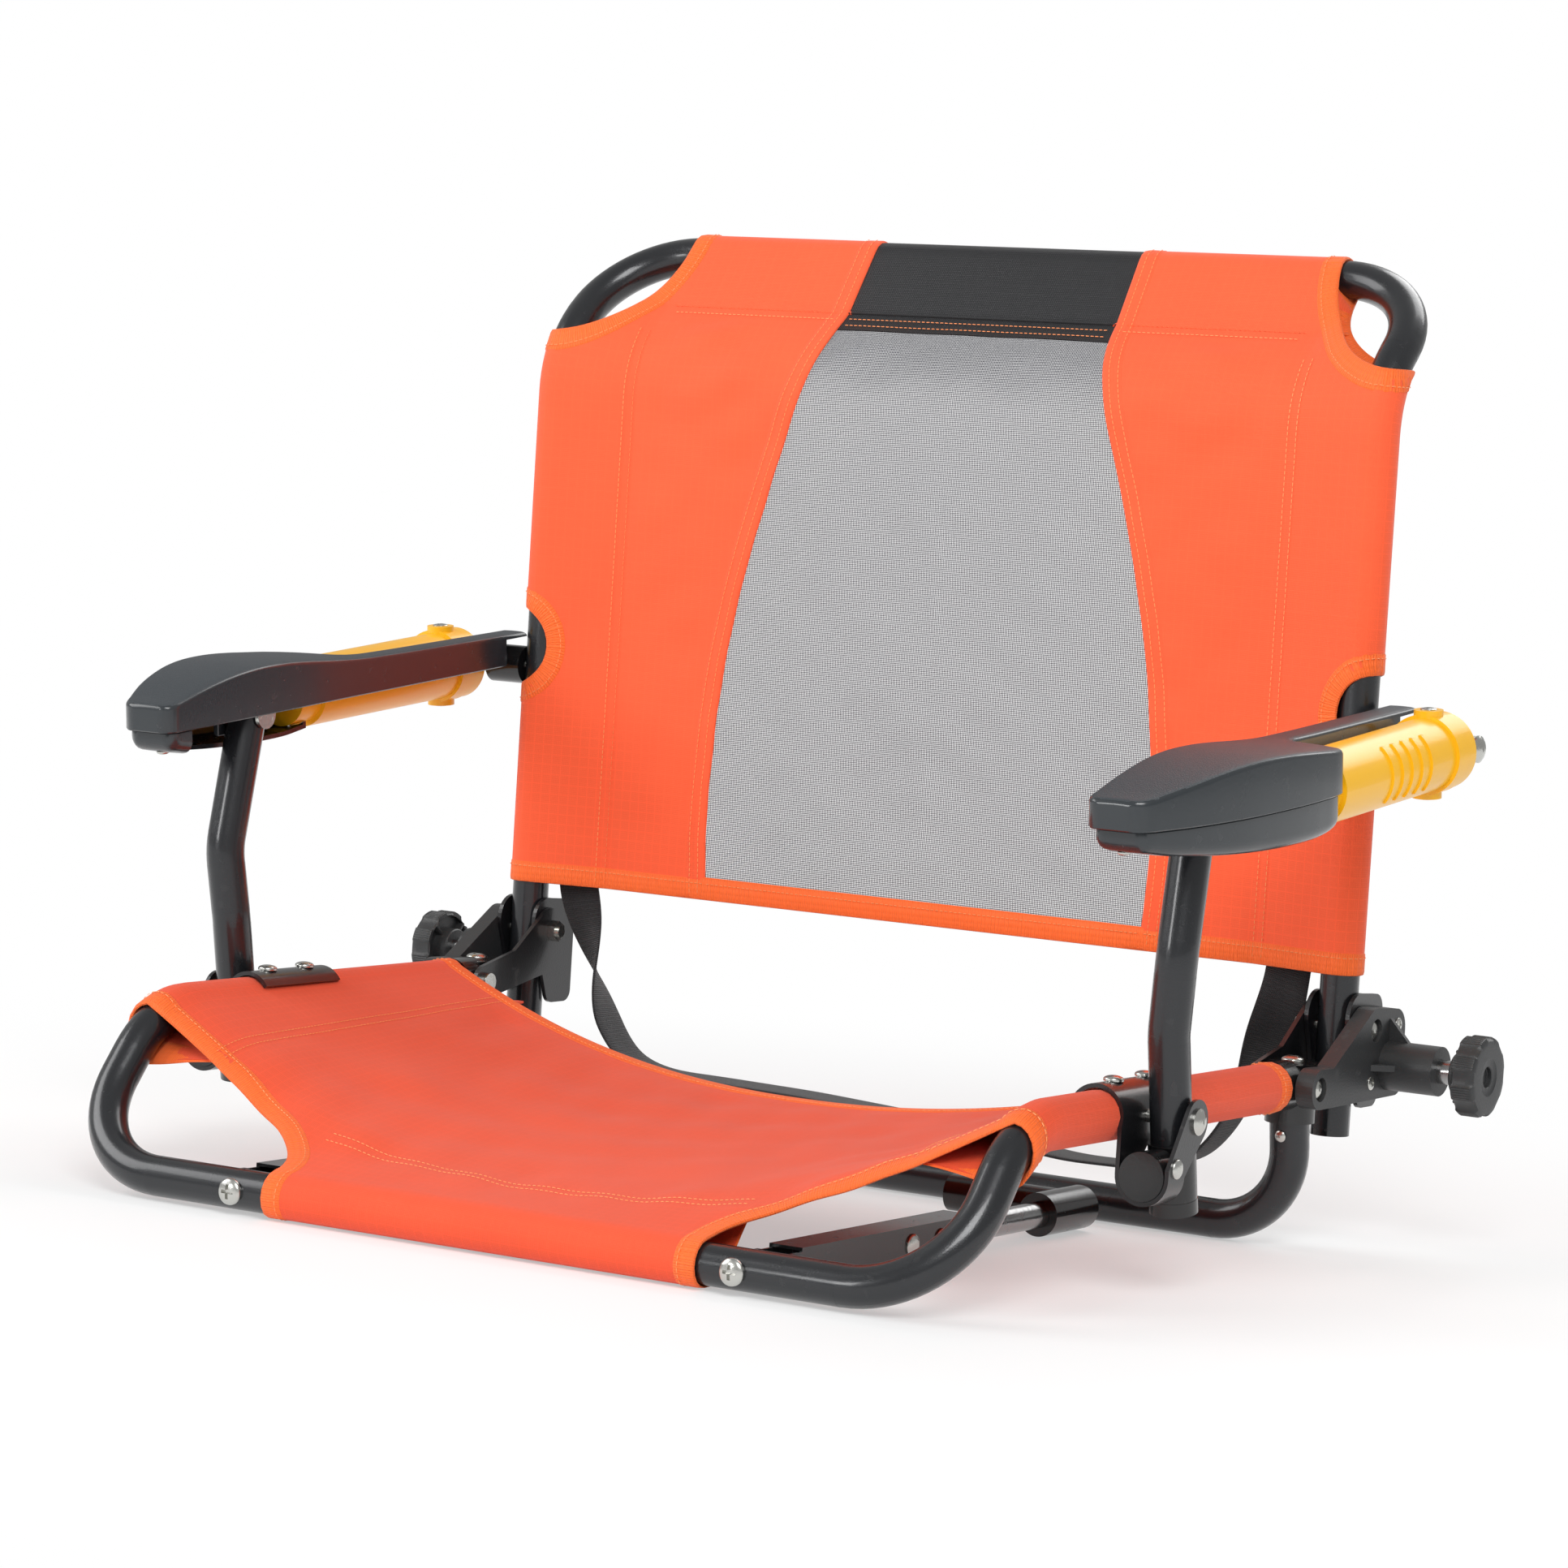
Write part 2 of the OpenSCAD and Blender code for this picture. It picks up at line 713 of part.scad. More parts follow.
module lock_housing() {
    difference() {
        union() {
            side_plate(housing_in_x, housing_out_x) lock_outline();
            xrod(housing_out_x, boss_end_x, plunger_y, plunger_z, boss_d);
            translate([0, plunger_y + 1.5, 0])
                rotate([90, 0, 0])
                    linear_extrude(height = 3)
                        polygon([[housing_out_x, plunger_z + boss_d / 2 - 2],
                                 [housing_out_x + 12, plunger_z + boss_d / 2 - 2],
                                 [housing_out_x, plunger_z + boss_d / 2 + 11]]);
            translate([0, 0, plunger_z - 1.5])
                linear_extrude(height = 3)
                    polygon([[housing_out_x, plunger_y - boss_d / 2 + 2],
                             [housing_out_x + 11, plunger_y - boss_d / 2 + 2],
                             [housing_out_x, plunger_y - boss_d / 2 - 8]]);
        }
        xrod(housing_in_x - 1, boss_end_x + 1, plunger_y, plunger_z, plunger_d + 2 * run_fit);
        xrod(housing_in_x - 1, cavity_end_x, plunger_y, plunger_z, cavity_d);
        for (p = [[rocker_y, rocker_z], [back_y, pivot_height]]) {
            xrod(housing_in_x - 1, housing_out_x + 1, p.x, p.y, bolt_d + 2 * run_fit);
            xrod(housing_out_x - head_pocket, housing_out_x + 1, p.x, p.y, 11.5);
        }
        for (p = lock_screws)
            xrod(housing_out_x - 8, housing_out_x + 1, p.x, p.y, 3.5 + 2 * run_fit);
    }
    difference() {
        xrod(housing_in_x, housing_in_x + 4, plunger_y, plunger_z, cavity_d);
        xrod(housing_in_x - 1, housing_in_x + 5, plunger_y, plunger_z, tip_d + 2 * run_fit);
    }
}
lock_screws = [[back_y + 24, pivot_height + 1.5], [back_y - 3, pivot_height - 25]];

module lock_housing_right() {
    color([0.17, 0.17, 0.18]) lock_housing();
}
module lock_housing_left() {
    color([0.17, 0.17, 0.18]) left() lock_housing();
}

module inner_link_plates() {
    color([0.10, 0.10, 0.11])
        both()
            difference() {
                side_plate(link_x, link_x + link_t)
                    union() {
                        hull() {
                            translate([rocker_y, rocker_z]) circle(r = 9, $fn = 32);
                            translate([back_y - 1, pivot_height - 12]) circle(r = 10, $fn = 32);
                        }
                        hull() {
                            translate([back_y, pivot_height]) circle(r = 12, $fn = 32);
                            translate([back_y - 1, pivot_height - 12]) circle(r = 10, $fn = 32);
                            translate([back_y - 34, pivot_height - 19]) circle(r = 7, $fn = 32);
                        }
                    }
                xrod(link_x - 1, link_x + link_t + 1, rocker_y, rocker_z, bolt_d + 2 * run_fit);
                xrod(link_x - 1, link_x + link_t + 1, back_y, pivot_height, bolt_d + 2 * run_fit);
            }
}

module link_bolts() {
    nut_h = 5;
    color("silver")
        both() {
            pan_screw_x(housing_out_x - head_pocket, back_y, pivot_height,
                        housing_out_x - head_pocket - link_x + nut_h + 1.5, bolt_d, 10, 2.6);
            translate([link_x - nut_h, back_y, pivot_height])
                rotate([0, 90, 0])
                    cylinder(h = nut_h, d = 11, $fn = 6);
        }
}

module housing_screws() {
    color("silver")
        both()
            for (p = lock_screws)
                pan_screw_x(housing_out_x, p.x, p.y, 7.5, 3.5, 7, 1);
}

// Spring between the plunger's collar and the boss, drawn as short as a full pull makes it
spring_rest_x = collar_x + collar_t + plunger_travel + gap;
module plunger_springs() {
    color("silver")
        both()
            translate([spring_rest_x, plunger_y, plunger_z])
                rotate([0, 90, 0])
                    helix((plunger_d + cavity_d) / 4, 1.8, 4, cavity_end_x - spring_rest_x);
}

module plunger() {
    xrod(outer_flange_x, collar_x, plunger_y, plunger_z, tip_d);
    xrod(collar_x, collar_x + collar_t, plunger_y, plunger_z, cavity_d - 0.6);
    xrod(collar_x, knob_x + knob_hub, plunger_y, plunger_z, plunger_d);
}
module plunger_right() {
    color("silver") plunger();
}
module plunger_left() {
    color("silver") left() plunger();
}

scallops = 8;
module knob() {
    difference() {
        union() {
            xrod(knob_x, knob_x + knob_hub, plunger_y, plunger_z, 21);
            xrod(knob_x + knob_hub - 1, knob_x + knob_hub + knob_rim, plunger_y, plunger_z, knob_d);
        }
        xrod(knob_x - 1, knob_x + knob_hub, plunger_y, plunger_z, plunger_d + 0.1);
        xrod(knob_x + knob_hub + 3, knob_x + knob_hub + knob_rim + 1, plunger_y, plunger_z, 10);
        for (i = [0 : scallops - 1])
            translate([0, plunger_y, plunger_z])
                rotate([360 * i / scallops, 0, 0])
                    xrod(knob_x + knob_hub - 2, knob_x + knob_hub + knob_rim + 1, knob_d / 2 + 2.6, 0, 8);
    }
}
module knob_right() {
    color([0.16, 0.17, 0.18]) knob();
}
module knob_left() {
    color([0.16, 0.17, 0.18]) left() knob();
}

// Index body: a saddle behind each back tube, with a slot for the plunger's tip
slot_r = norm([plunger_y - back_y, plunger_z - pivot_height]);
slot_a = atan2(plunger_z - pivot_height, plunger_y - back_y);
slot_w = tip_d + 0.6;

module saddle_outline() {
    hull() {
        translate([0, 5]) circle(r = 12, $fn = 32);
        translate([17, 8]) circle(r = 8, $fn = 32);
        translate([19, -33]) circle(r = 6, $fn = 32);
        translate([8, -33]) circle(r = 6, $fn = 32);
    }
}

module index_saddle() {
    difference() {
        translate([0, back_y, pivot_height]) {
            side_plate(inner_flange_x, inner_flange_x + flange_t) saddle_outline();
            side_plate(outer_flange_x, outer_flange_x + flange_t) saddle_outline();
            translate([inner_flange_x, tube_r + gap, 9])
                cube([outer_flange_x + flange_t - inner_flange_x, 2.2, 7]);
        }
        xrod(link_x, housing_in_x, back_y, pivot_height, bolt_d + 2 * run_fit);
        translate([outer_flange_x - 1, back_y, pivot_height])
            rotate([90, 0, 90]) {
                rotate([0, 0, slot_a])
                    rotate_extrude(angle = recline_angle)
                        translate([slot_r - slot_w / 2, 0]) square([slot_w, flange_t + 2]);
                for (a = [0, recline_angle])
                    rotate([0, 0, slot_a + a])
                        translate([slot_r, 0, 0]) cylinder(h = flange_t + 2, d = slot_w);
            }
    }
}
module index_saddles() {
    color([0.08, 0.08, 0.09])
        both() index_saddle();
}

// Back body

module back_frame() {
    color([0.19, 0.20, 0.22])
        difference() {
            pipe(back_path, back_bends, tube_d, tube_wall);
            both() {
                xrod(rail_x - tube_d, rail_x + tube_d, back_y, pivot_height, bolt_d + 2 * run_fit);
                xrod(rail_x, rail_x + tube_d, back_y, arm_pivot_height, bolt_d + 2 * run_fit);
            }
        }
}

module tail_caps() {
    color([0.06, 0.06, 0.07])
        both()
            translate([rail_x, back_y, tail_z]) {
                translate([0, 0, -3]) cylinder(h = 3, r = tube_r);
                cylinder(h = 8, r = tube_r - tube_wall - 0.05);
            }
}

// Back cloth: sleeves on the tubes and a panel that follows them, cut into mesh and side panels
panel_t = 1.6;
panel_edge = rail_x - sleeve_in - 0.35;
sweep_turn = bend_turn(back_path[0], back_path[1], back_path[2]);
sweep_back = setback(back_path, back_bends, 1);
sweep_low_z = back_bend_height - sweep_back;
notch_x = rail_x + 8;
notch_z = top_height + 12;
notch_r = 57;
arm_notch_r = 21;
arm_notch_z = arm_pivot_height + 11;
mesh_bottom = back_cloth_low + 13;
mesh_outline = [[128, 0], [131, 45], [127, 105], [121, 147], [109, 198], [91, 258], [79, 300], [77, 400]];

// Side view of the panel: a straight, the bend and the inclined top, which lap
module sweep_profile(t) {
    dir = unit([top_sweep, top_height - back_bend_height]);
    n = [-dir.y, dir.x] * t / 2;
    a = [back_y, back_bend_height] + dir * sweep_back;
    b = [top_y, top_height] - dir * (sleeve_in + 0.35);
    translate([back_y - t / 2, back_cloth_low]) square([t, sweep_low_z - back_cloth_low]);
    polygon([a - n, a + n, b + n, b - n]);
    c = [back_y + sweep_bend, sweep_low_z];
    far = 2 * sweep_bend;
    translate(c)
        intersection() {
            difference() {
                circle(r = sweep_bend + t / 2 - 0.02, $fn = 96);
                circle(r = sweep_bend - t / 2 + 0.02, $fn = 96);
            }
            polygon([[0, -lap], [-far, -lap], [-far, far * dir.x], [lap * dir.x - far * dir.y,
                     far * dir.x + lap * dir.y], lap * dir]);
        }
}

module cloth_cuts() {
    both() {
        translate([notch_x, 0, notch_z])
            rotate([90, 0, 0])
                cylinder(h = 1000, r = notch_r, center = true, $fn = 64);
        translate([rail_x + 13, 0, arm_notch_z])
            rotate([90, 0, 0])
                cylinder(h = 1000, r = arm_notch_r, center = true, $fn = 64);
    }
}

module mesh_cut(grow) {
    half = [for (p = mesh_outline) [p.x + grow, max(mesh_bottom - grow, back_cloth_low + p.y)]];
    first = [[half[0].x, mesh_bottom - grow]];
    right = concat(first, [for (i = [1 : len(half) - 1]) half[i]]);
    front_plate(-1000, 1000)
        polygon(concat(right, [for (i = [len(right) - 1 : -1 : 0]) [-right[i].x, right[i].y]]));
}

module back_cloth() {
    both() {
        sleeve([rail_x, back_y, back_cloth_low], [rail_x, back_y, sweep_low_z]);
        translate([rail_x, back_y + sweep_bend, sweep_low_z])
            rotate([0, 90, 0])
                rotate([0, 0, 270 - sweep_turn])
                    hoop(sweep_bend, sweep_turn, 2 * sleeve_r, cloth);
    }
    side_plate(-panel_edge, panel_edge) sweep_profile(panel_t);
    sleeve([-rail_x + top_bend + 0.5, top_y, top_height], [rail_x - top_bend - 0.5, top_y, top_height]);
}

module back_panels() {
    color([0.99, 0.40, 0.22])
        difference() {
            back_cloth();
            cloth_cuts();
            mesh_cut(0);
        }
}

module back_mesh() {
    color([0.30, 0.30, 0.32])
        intersection() {
            back_cloth();
            mesh_cut(-0.1);
        }
}

// Bolt on the back tube that carries the knuckle and the rod's eye
eye_t = 9;
eye_d = 15.5;
eye_bore = 9;
washer_t = 1.6;
knuckle_d = 20;
knuckle_end_x = arm_inner_x + 17;
bolt_head_x = housing_x + 14;

module arm_pivot_bolts() {
    nut_x = rail_x + 1.8;
    color("silver")
        both() {
            pan_screw_x(bolt_head_x, back_y, arm_pivot_height, bolt_head_x - nut_x, bolt_d, 13, 3.8);
            xrod(nut_x, nut_x + 4, back_y, arm_pivot_height, 11);
        }
}

module arm_knuckles() {
    color([0.13, 0.13, 0.15])
        both()
            difference() {
                union() {
                    xrod(rail_x + tube_r + gap, knuckle_end_x, back_y, arm_pivot_height, knuckle_d);
                    xrod(knuckle_end_x, housing_x - eye_t / 2 - washer_t - 3 * run_fit, back_y,
                         arm_pivot_height, 10);
                }
                xrod(rail_x, housing_x, back_y, arm_pivot_height, bolt_d + 2 * run_fit);
            }
}

module arm_washers() {
    color("silver")
        both()
            difference() {
                for (ends = [[-eye_t / 2 - washer_t, -eye_t / 2], [eye_t / 2, bolt_head_x - housing_x]])
                    xrod(housing_x + ends[0] - sign(-ends[0]) * run_fit, housing_x + ends[1] - run_fit,
                         back_y, arm_pivot_height, 12.5);
                xrod(housing_x - 20, housing_x + 20, back_y, arm_pivot_height, bolt_d + 2 * run_fit);
            }
}

// Carry strap: webbing that hangs in a loop from the lower edge of the back cloth
strap_end_x = rail_x - 28;
strap_y = back_y + panel_t / 2 + strap_t / 2 + gap;
strap_route = [[strap_end_x, 0, 150], [strap_end_x, 0, 131], [strap_end_x - 6, 6, 110],
               [strap_end_x - 17, 5, 78], [strap_end_x - 27, 2, 50], [strap_end_x - 42, 0, 31],
               [strap_end_x - 66, 0, 24], [97, 0, 23], [50, 0, 28], [0, 0, 33], [-60, 0, 36],
               [-120, 0, 37], [60 - strap_end_x, 0, 37], [38 - strap_end_x, 1, 42],
               [22 - strap_end_x, 3, 60], [12 - strap_end_x, 5, 84], [4 - strap_end_x, 5, 110],
               [-strap_end_x, 0, 131], [-strap_end_x, 0, 150]];
function strap_side(i) =
    let (a = strap_route[max(0, i - 1)], b = strap_route[min(len(strap_route) - 1, i + 1)], d = unit(b - a))
    unit(cross([d.x, 0, d.z], [0, 1, 0]));

module carry_strap() {
    n = len(strap_route);
    half = strap_width / 2;
    points = [for (i = [0 : n - 1])
        each let (p = strap_route[i] + [0, strap_y, 0], s = strap_side(i) * half, t = [0, strap_t / 2, 0])
            [p - s - t, p + s - t, p + s + t, p - s + t]];
    skin = [for (i = [0 : n - 2], k = [0 : 3])
        each let (a = i * 4 + k, b = i * 4 + (k + 1) % 4, c = a + 4, d = b + 4)
            [[a, b, c], [b, d, c]]];
    e = (n - 1) * 4;
    color([0.08, 0.08, 0.09])
        polyhedron(points, concat(skin, [[0, 3, 1], [1, 3, 2], [e, e + 1, e + 3], [e + 1, e + 2, e + 3]]));
}

// Posts
post_lean = 0.2;
post_foot_z = post_z - 40;
post_path = [[post_x, post_y + post_lean * (post_z - post_foot_z), post_foot_z],
             [post_x, post_y - post_lean * 38, post_z + 38],
             [post_top_x + 1, post_y - post_lean * 38 - post_bow / 2, post_z + 72],
             [post_top_x, post_y + 1.5, post_top_z + 9]];
post_bends = [0, 45, 45, 0];

module post() {
    difference() {
        pipe(post_path, post_bends, tube_d, tube_wall);
        xrod(post_x - tube_d, post_x + tube_d, post_y, post_z, bolt_d + 2 * run_fit);
        xrod(post_top_x - tube_d, post_top_x + tube_d, post_y, post_top_z, arm_bolt_d + 2 * run_fit);
    }
}
module post_right() {
    color([0.19, 0.20, 0.22]) post();
}
module post_left() {
    color([0.19, 0.20, 0.22]) left() post();
}

shoe_d = tube_d + 2.6;
shoe_lip = 0.4;
module post_shoes() {
    foot = post_path[0];
    up = unit(post_path[1] - foot);
    color([0.15, 0.15, 0.17])
        both()
            difference() {
                union() {
                    rod(foot - up * 2.5, foot + up * 30, shoe_d);
                    rod(foot - up * 2.5, foot + up * 4, shoe_d + shoe_lip);
                }
                rod(foot - up * 0.05, foot + up * 40, tube_d + 0.1);
            }
}

// Arm frame: origin at the pivot on the back tube, -Y along the arm to its nose
module at_arm() {
    translate([0, back_y, arm_pivot_height])
        rotate([arm_tilt, 0, 0])
            children();
}

// Arm outline from above: (x, distance from the rear pivot)
bar_outer_x = arm_inner_x + 15.4;
nose_inner_x = arm_inner_x - 1.2;
nose_outer_x = nose_inner_x + 29;
arm_rear = -5;
wide_rear_s = 150;
arm_plan = [[arm_inner_x, arm_rear], [bar_outer_x, arm_rear], [bar_outer_x, wide_rear_s - 22],
            [bar_outer_x + 8, wide_rear_s - 10], [arm_outer_x - 6, wide_rear_s - 1],
            [arm_outer_x, wide_rear_s + 6], [arm_outer_x, wide_rear_s + 35],
            [arm_outer_x - 2, wide_rear_s + 60], [arm_outer_x - 6, wide_rear_s + 88],
            [arm_outer_x - 13, wide_rear_s + 115], [arm_outer_x - 20, arm_length - 16],
            [nose_outer_x, arm_length - 5], [nose_outer_x - 6, arm_length],
            [nose_inner_x + 5, arm_length], [nose_inner_x, arm_length - 5],
            [nose_inner_x, arm_length - 60], [arm_inner_x, wide_rear_s]];

// Arm outline from the side: (distance from the rear pivot, height)
shell_low = 0.5;
arm_top = [[arm_rear, 17], [100, 18.5], [140, 19.5], [165, 21.5], [190, 24], [213, 25.3],
           [235, 25], [260, 21.8], [285, 16.5], [arm_length, 13]];

module arm_plan_shape(inset) {
    offset(delta = -inset) polygon(arm_plan);
}

module arm_block(inset, drop, z0) {
    intersection() {
        translate([0, 0, -60])
            linear_extrude(height = 120)
                mirror([0, 1, 0]) arm_plan_shape(inset);
        side_plate(arm_inner_x - 20, arm_outer_x + 20)
            polygon(concat([for (p = arm_top) [-p.x, p.y - drop]], [[-arm_length, z0], [-arm_rear, z0]]));
    }
}

inner_bush_d = arm_bolt_d + 4;
outer_bush_d = arm_bolt_d + 8;
lug_half = outer_bush_d / 2 + 2;
spigot_s = wide_rear_s - 1;
spigot_d = housing_d - 4.6;
housing_bore = spigot_d - 4.4;
lug_in_x = post_top_x - tube_r - 0.3;
lug_out_x = post_top_x + tube_r + 0.3;
lug_t = 3.5;
lug_top = lookup(post_top_s - 8, arm_top) - 1;

module arm_shell() {
    difference() {
        union() {
            difference() {
                arm_block(0, 0, shell_low);
                arm_block(shell_wall, shell_wall, shell_low - 1);
                translate([arm_inner_x - 5, -14, shell_low - 1])
                    cube([30, 30, 14.6 - shell_low + 1]);
            }
            translate([nose_inner_x + 0.5, -post_top_s - lug_half, shell_low])
                cube([lug_in_x - nose_inner_x - 0.5, 2 * lug_half, lug_top - shell_low]);
            translate([lug_out_x, -post_top_s - lug_half, -lug_half])
                cube([lug_t, 2 * lug_half, lug_top + lug_half]);
        }
        translate([0, -post_top_s, 0]) {
            xrod(lug_in_x - 2.2, lug_in_x + 1, 0, 0, inner_bush_d + 2 * run_fit);
            xrod(lug_out_x - 1, lug_out_x + lug_t + 1, 0, 0, outer_bush_d + 2 * run_fit);
        }
        xrod_y(-spigot_s - gap, 10, housing_x, 0, housing_d + 2 * gap);
        xrod_y(-housing_front_s - 5, 0, housing_x, 0, spigot_d + 2 * gap);
    }
}

// Rod along Y in the arm's frame
module xrod_y(y0, y1, x, z, d) {
    translate([x, y0, z])
        rotate([-90, 0, 0])
            cylinder(h = y1 - y0, d = d);
}
module arm_shell_right() {
    color([0.16, 0.17, 0.19]) at_arm() arm_shell();
}
module arm_shell_left() {
    color([0.16, 0.17, 0.19]) left() at_arm() arm_shell();
}

// Belly cover under the outer half of the arm, closed at the nose
cover_low = [[arm_length - 4, -8], [arm_length - 14, -11], [260, -14], [238, -16], [210, -17.6],
             [181, -18], [165, -17.5], [wide_rear_s + 4, -15.5]];
cover_top = shell_low - 0.3;
cover_in_x = lug_out_x + lug_t + 0.6;

module cover_block(inset, lift) {
    intersection() {
        translate([0, 0, -60])
            linear_extrude(height = 120)
                mirror([0, 1, 0]) arm_plan_shape(2 + inset);
        side_plate(arm_inner_x - 20, arm_outer_x + 20)
            polygon(concat([for (p = cover_low) [-p.x, p.y + lift]],
                           [[-wide_rear_s - 4, cover_top + lift], [-arm_length + 4, cover_top + lift]]));
    }
}

nose_block_s = arm_length - 20;
arm_screw_at = [[housing_x - 2, -wide_rear_s - 11, lookup(wide_rear_s + 11, cover_low) + 0.2, 7],
                [nose_inner_x + 14, 12 - arm_length, lookup(arm_length - 12, cover_low) + 0.2, 6]];
module arm_cover() {
    difference() {
        cover_block(0, 0);
        cover_block(2.2, 2.2);
        translate([arm_inner_x - 20, -nose_block_s, -40])
            cube([cover_in_x - arm_inner_x + 20, nose_block_s, 60]);
        for (p = arm_screw_at)
            translate([p.x, p.y, p.z - 5 + run_fit]) cylinder(h = 5, d = p[3] + 2 * run_fit);
        xrod_y(-housing_front_s - 5, 0, housing_x, 0, spigot_d + 2 * gap);
    }
}
module arm_cover_right() {
    color([0.13, 0.14, 0.15]) at_arm() arm_cover();
}
module arm_cover_left() {
    color([0.13, 0.14, 0.15]) left() at_arm() arm_cover();
}

module arm_screws() {
    color("silver")
        both()
            at_arm() {
                for (p = arm_screw_at)
                    translate([p.x, p.y, p.z]) rotate([180, 0, 0]) dome(p[3], p[3] * 0.28);
            }
}

module arm_bolts() {
    color("silver")
        both()
            xrod(lug_in_x - 2, lug_out_x + lug_t + 0.4, post_y, post_top_z, arm_bolt_d);
}

module arm_bushes() {
    color([0.85, 0.85, 0.82])
        both()
            for (x = [lug_in_x - 2.1, lug_out_x + 0.2])
                difference() {
                    xrod(x, x + (x < post_top_x ? 2 : lug_t), post_y, post_top_z,
                         x < post_top_x ? inner_bush_d : outer_bush_d);
                    xrod(x - 1, x + lug_t + 1, post_y, post_top_z, arm_bolt_d + 2 * run_fit);
                }
}

// Spring housing: a tube with a ring collar, grip ridges and a guide for the rod
housing_rear_s = 8;
housing_front_s = 165;
ring_s = 25;
ring_d = 38.4;
guide_s = 14;
ridge_s = [for (i = [0 : 4]) 58 + 10.5 * i];

module spring_housing() {
    difference() {
        union() {
            xrod_y(-spigot_s, -housing_rear_s - 3, housing_x, 0, housing_d);
            xrod_y(-housing_front_s, 1 - spigot_s, housing_x, 0, spigot_d);
            xrod_y(-ring_s - 6, -ring_s + 6, housing_x, 0, ring_d);
            xrod_y(-ring_s + 6, -housing_rear_s - 3, housing_x, 0, ring_d - 1);
            xrod_y(-housing_rear_s - 3, -housing_rear_s, housing_x, 0, ring_d - 6);
            translate([housing_x, -ring_s, -21]) cylinder(h = 42, d = 14);
            for (s = ridge_s)
                intersection() {
                    xrod_y(-s - 1.3, -s + 1.3, housing_x, 0, housing_d + 2);
                    translate([housing_x + 4, -s - 2, -12]) cube([20, 4, 26]);
                }
        }
        xrod_y(-housing_front_s + 4, -guide_s - 4, housing_x, 0, housing_bore);
        xrod_y(-guide_s - 5, 0, housing_x, 0, rod_d + 2 * run_fit);
        xrod_y(-guide_s, 0, housing_x, 0, 22);
    }
}
module spring_housing_right() {
    color([1.0, 0.72, 0.08]) at_arm() spring_housing();
}
module spring_housing_left() {
    color([1.0, 0.72, 0.08]) left() at_arm() spring_housing();
}

module ring_screws() {
    color("silver")
        both()
            at_arm()
                for (side = [0, 180])
                    translate([housing_x, -ring_s, 0])
                        rotate([side, 0, 0])
                            translate([0, 0, 21])
                                linear_extrude(height = 1, scale = 0.82)
                                    polygon([for (i = [0 : 15]) 4 * [cos(22.5 * i), sin(22.5 * i)]]);
}

// Inside the housing: a guide ring, the rod with its eye and collar, and the spring
ring_back_s = 50;
ring_front_s = ring_back_s + 10;
collar_s = 92;
collar_len = 4;
spring_wire = 2.2;

module guide_rings() {
    color([0.75, 0.75, 0.76])
        both()
            at_arm()
                difference() {
                    xrod_y(-ring_front_s, -ring_back_s, housing_x, 0, housing_bore - 2 * run_fit);
                    xrod_y(-ring_front_s - 1, 1 - ring_back_s, housing_x, 0, rod_d + 2 * run_fit);
                }
}

module rock_springs() {
    start_s = collar_s + collar_len + gap;
    color("silver")
        both()
            at_arm()
                translate([housing_x, -start_s, 0])
                    rotate([90, 0, 0])
                        helix(housing_bore / 2 - 3, spring_wire, 8, housing_front_s - 4 - start_s);
}

module piston_rods() {
    color("silver")
        both()
            at_arm() {
                difference() {
                    union() {
                        xrod(housing_x - eye_t / 2, housing_x + eye_t / 2, 0, 0, eye_d);
                        xrod_y(-collar_s - collar_len - 2, -eye_bore / 2 - 1, housing_x, 0, rod_d);
                        xrod_y(-collar_s - collar_len, -collar_s, housing_x, 0, housing_bore - 5);
                    }
                    xrod(housing_x - eye_t, housing_x + eye_t, 0, 0, eye_bore);
                }
            }
}

// Bench hook's moving pieces
channel_rear = hinge_y + hook_channel_length;

module hook_channel() {
    difference() {
        translate([hook_x, 0, 0]) {
            side_plate(-channel_half, -channel_half + hook_sheet) channel_side();
            side_plate(channel_half - hook_sheet, channel_half) channel_side();
            translate([-channel_half, hinge_y + 7, hook_z + channel_half - hook_sheet])
                cube([2 * channel_half, hook_channel_length - 7, hook_sheet]);
        }
        xrod(hook_x - 20, hook_x + 20, hinge_y, hook_z, pin_d + 2 * run_fit);
    }
}
module channel_side() {
    translate([hinge_y, hook_z]) circle(r = 6.5);
    translate([hinge_y, hook_z - 6.5]) square([7, 13]);
    translate([hinge_y + 7, hook_z - channel_half + 1])
        square([hook_channel_length - 7, 2 * channel_half - 1]);
}
module hook_channels() {
    color([0.17, 0.17, 0.19])
        both() hook_channel();
}

// Slider in the channel, with a stub on which the rod turns
slider_length = 12;
module hook_slider() {
    wide = 2 * (channel_half - hook_sheet - run_fit);
    translate([hook_x - wide / 2, hook_rod_front - slider_length, hook_z - wide / 2 + 0.3])
        cube([wide, slider_length - 0.1, wide - 0.6]);
    xrod_y(hook_rod_front - 1, hook_rod_front + 18, hook_x, hook_z, hook_rod_d - 3 - 2 * run_fit);
}
module hook_slider_right() {
    color([0.80, 0.80, 0.78]) hook_slider();
}
module hook_slider_left() {
    color([0.80, 0.80, 0.78]) left() hook_slider();
}

hook_rivet_y = [rear_y - 209, rear_y - 183];
module hook_rivets() {
    color("silver")
        both()
            for (y = hook_rivet_y)
                translate([hook_x + channel_half, y, hook_z])
                    rotate([0, 90, 0]) dome(10.5, 2);
}

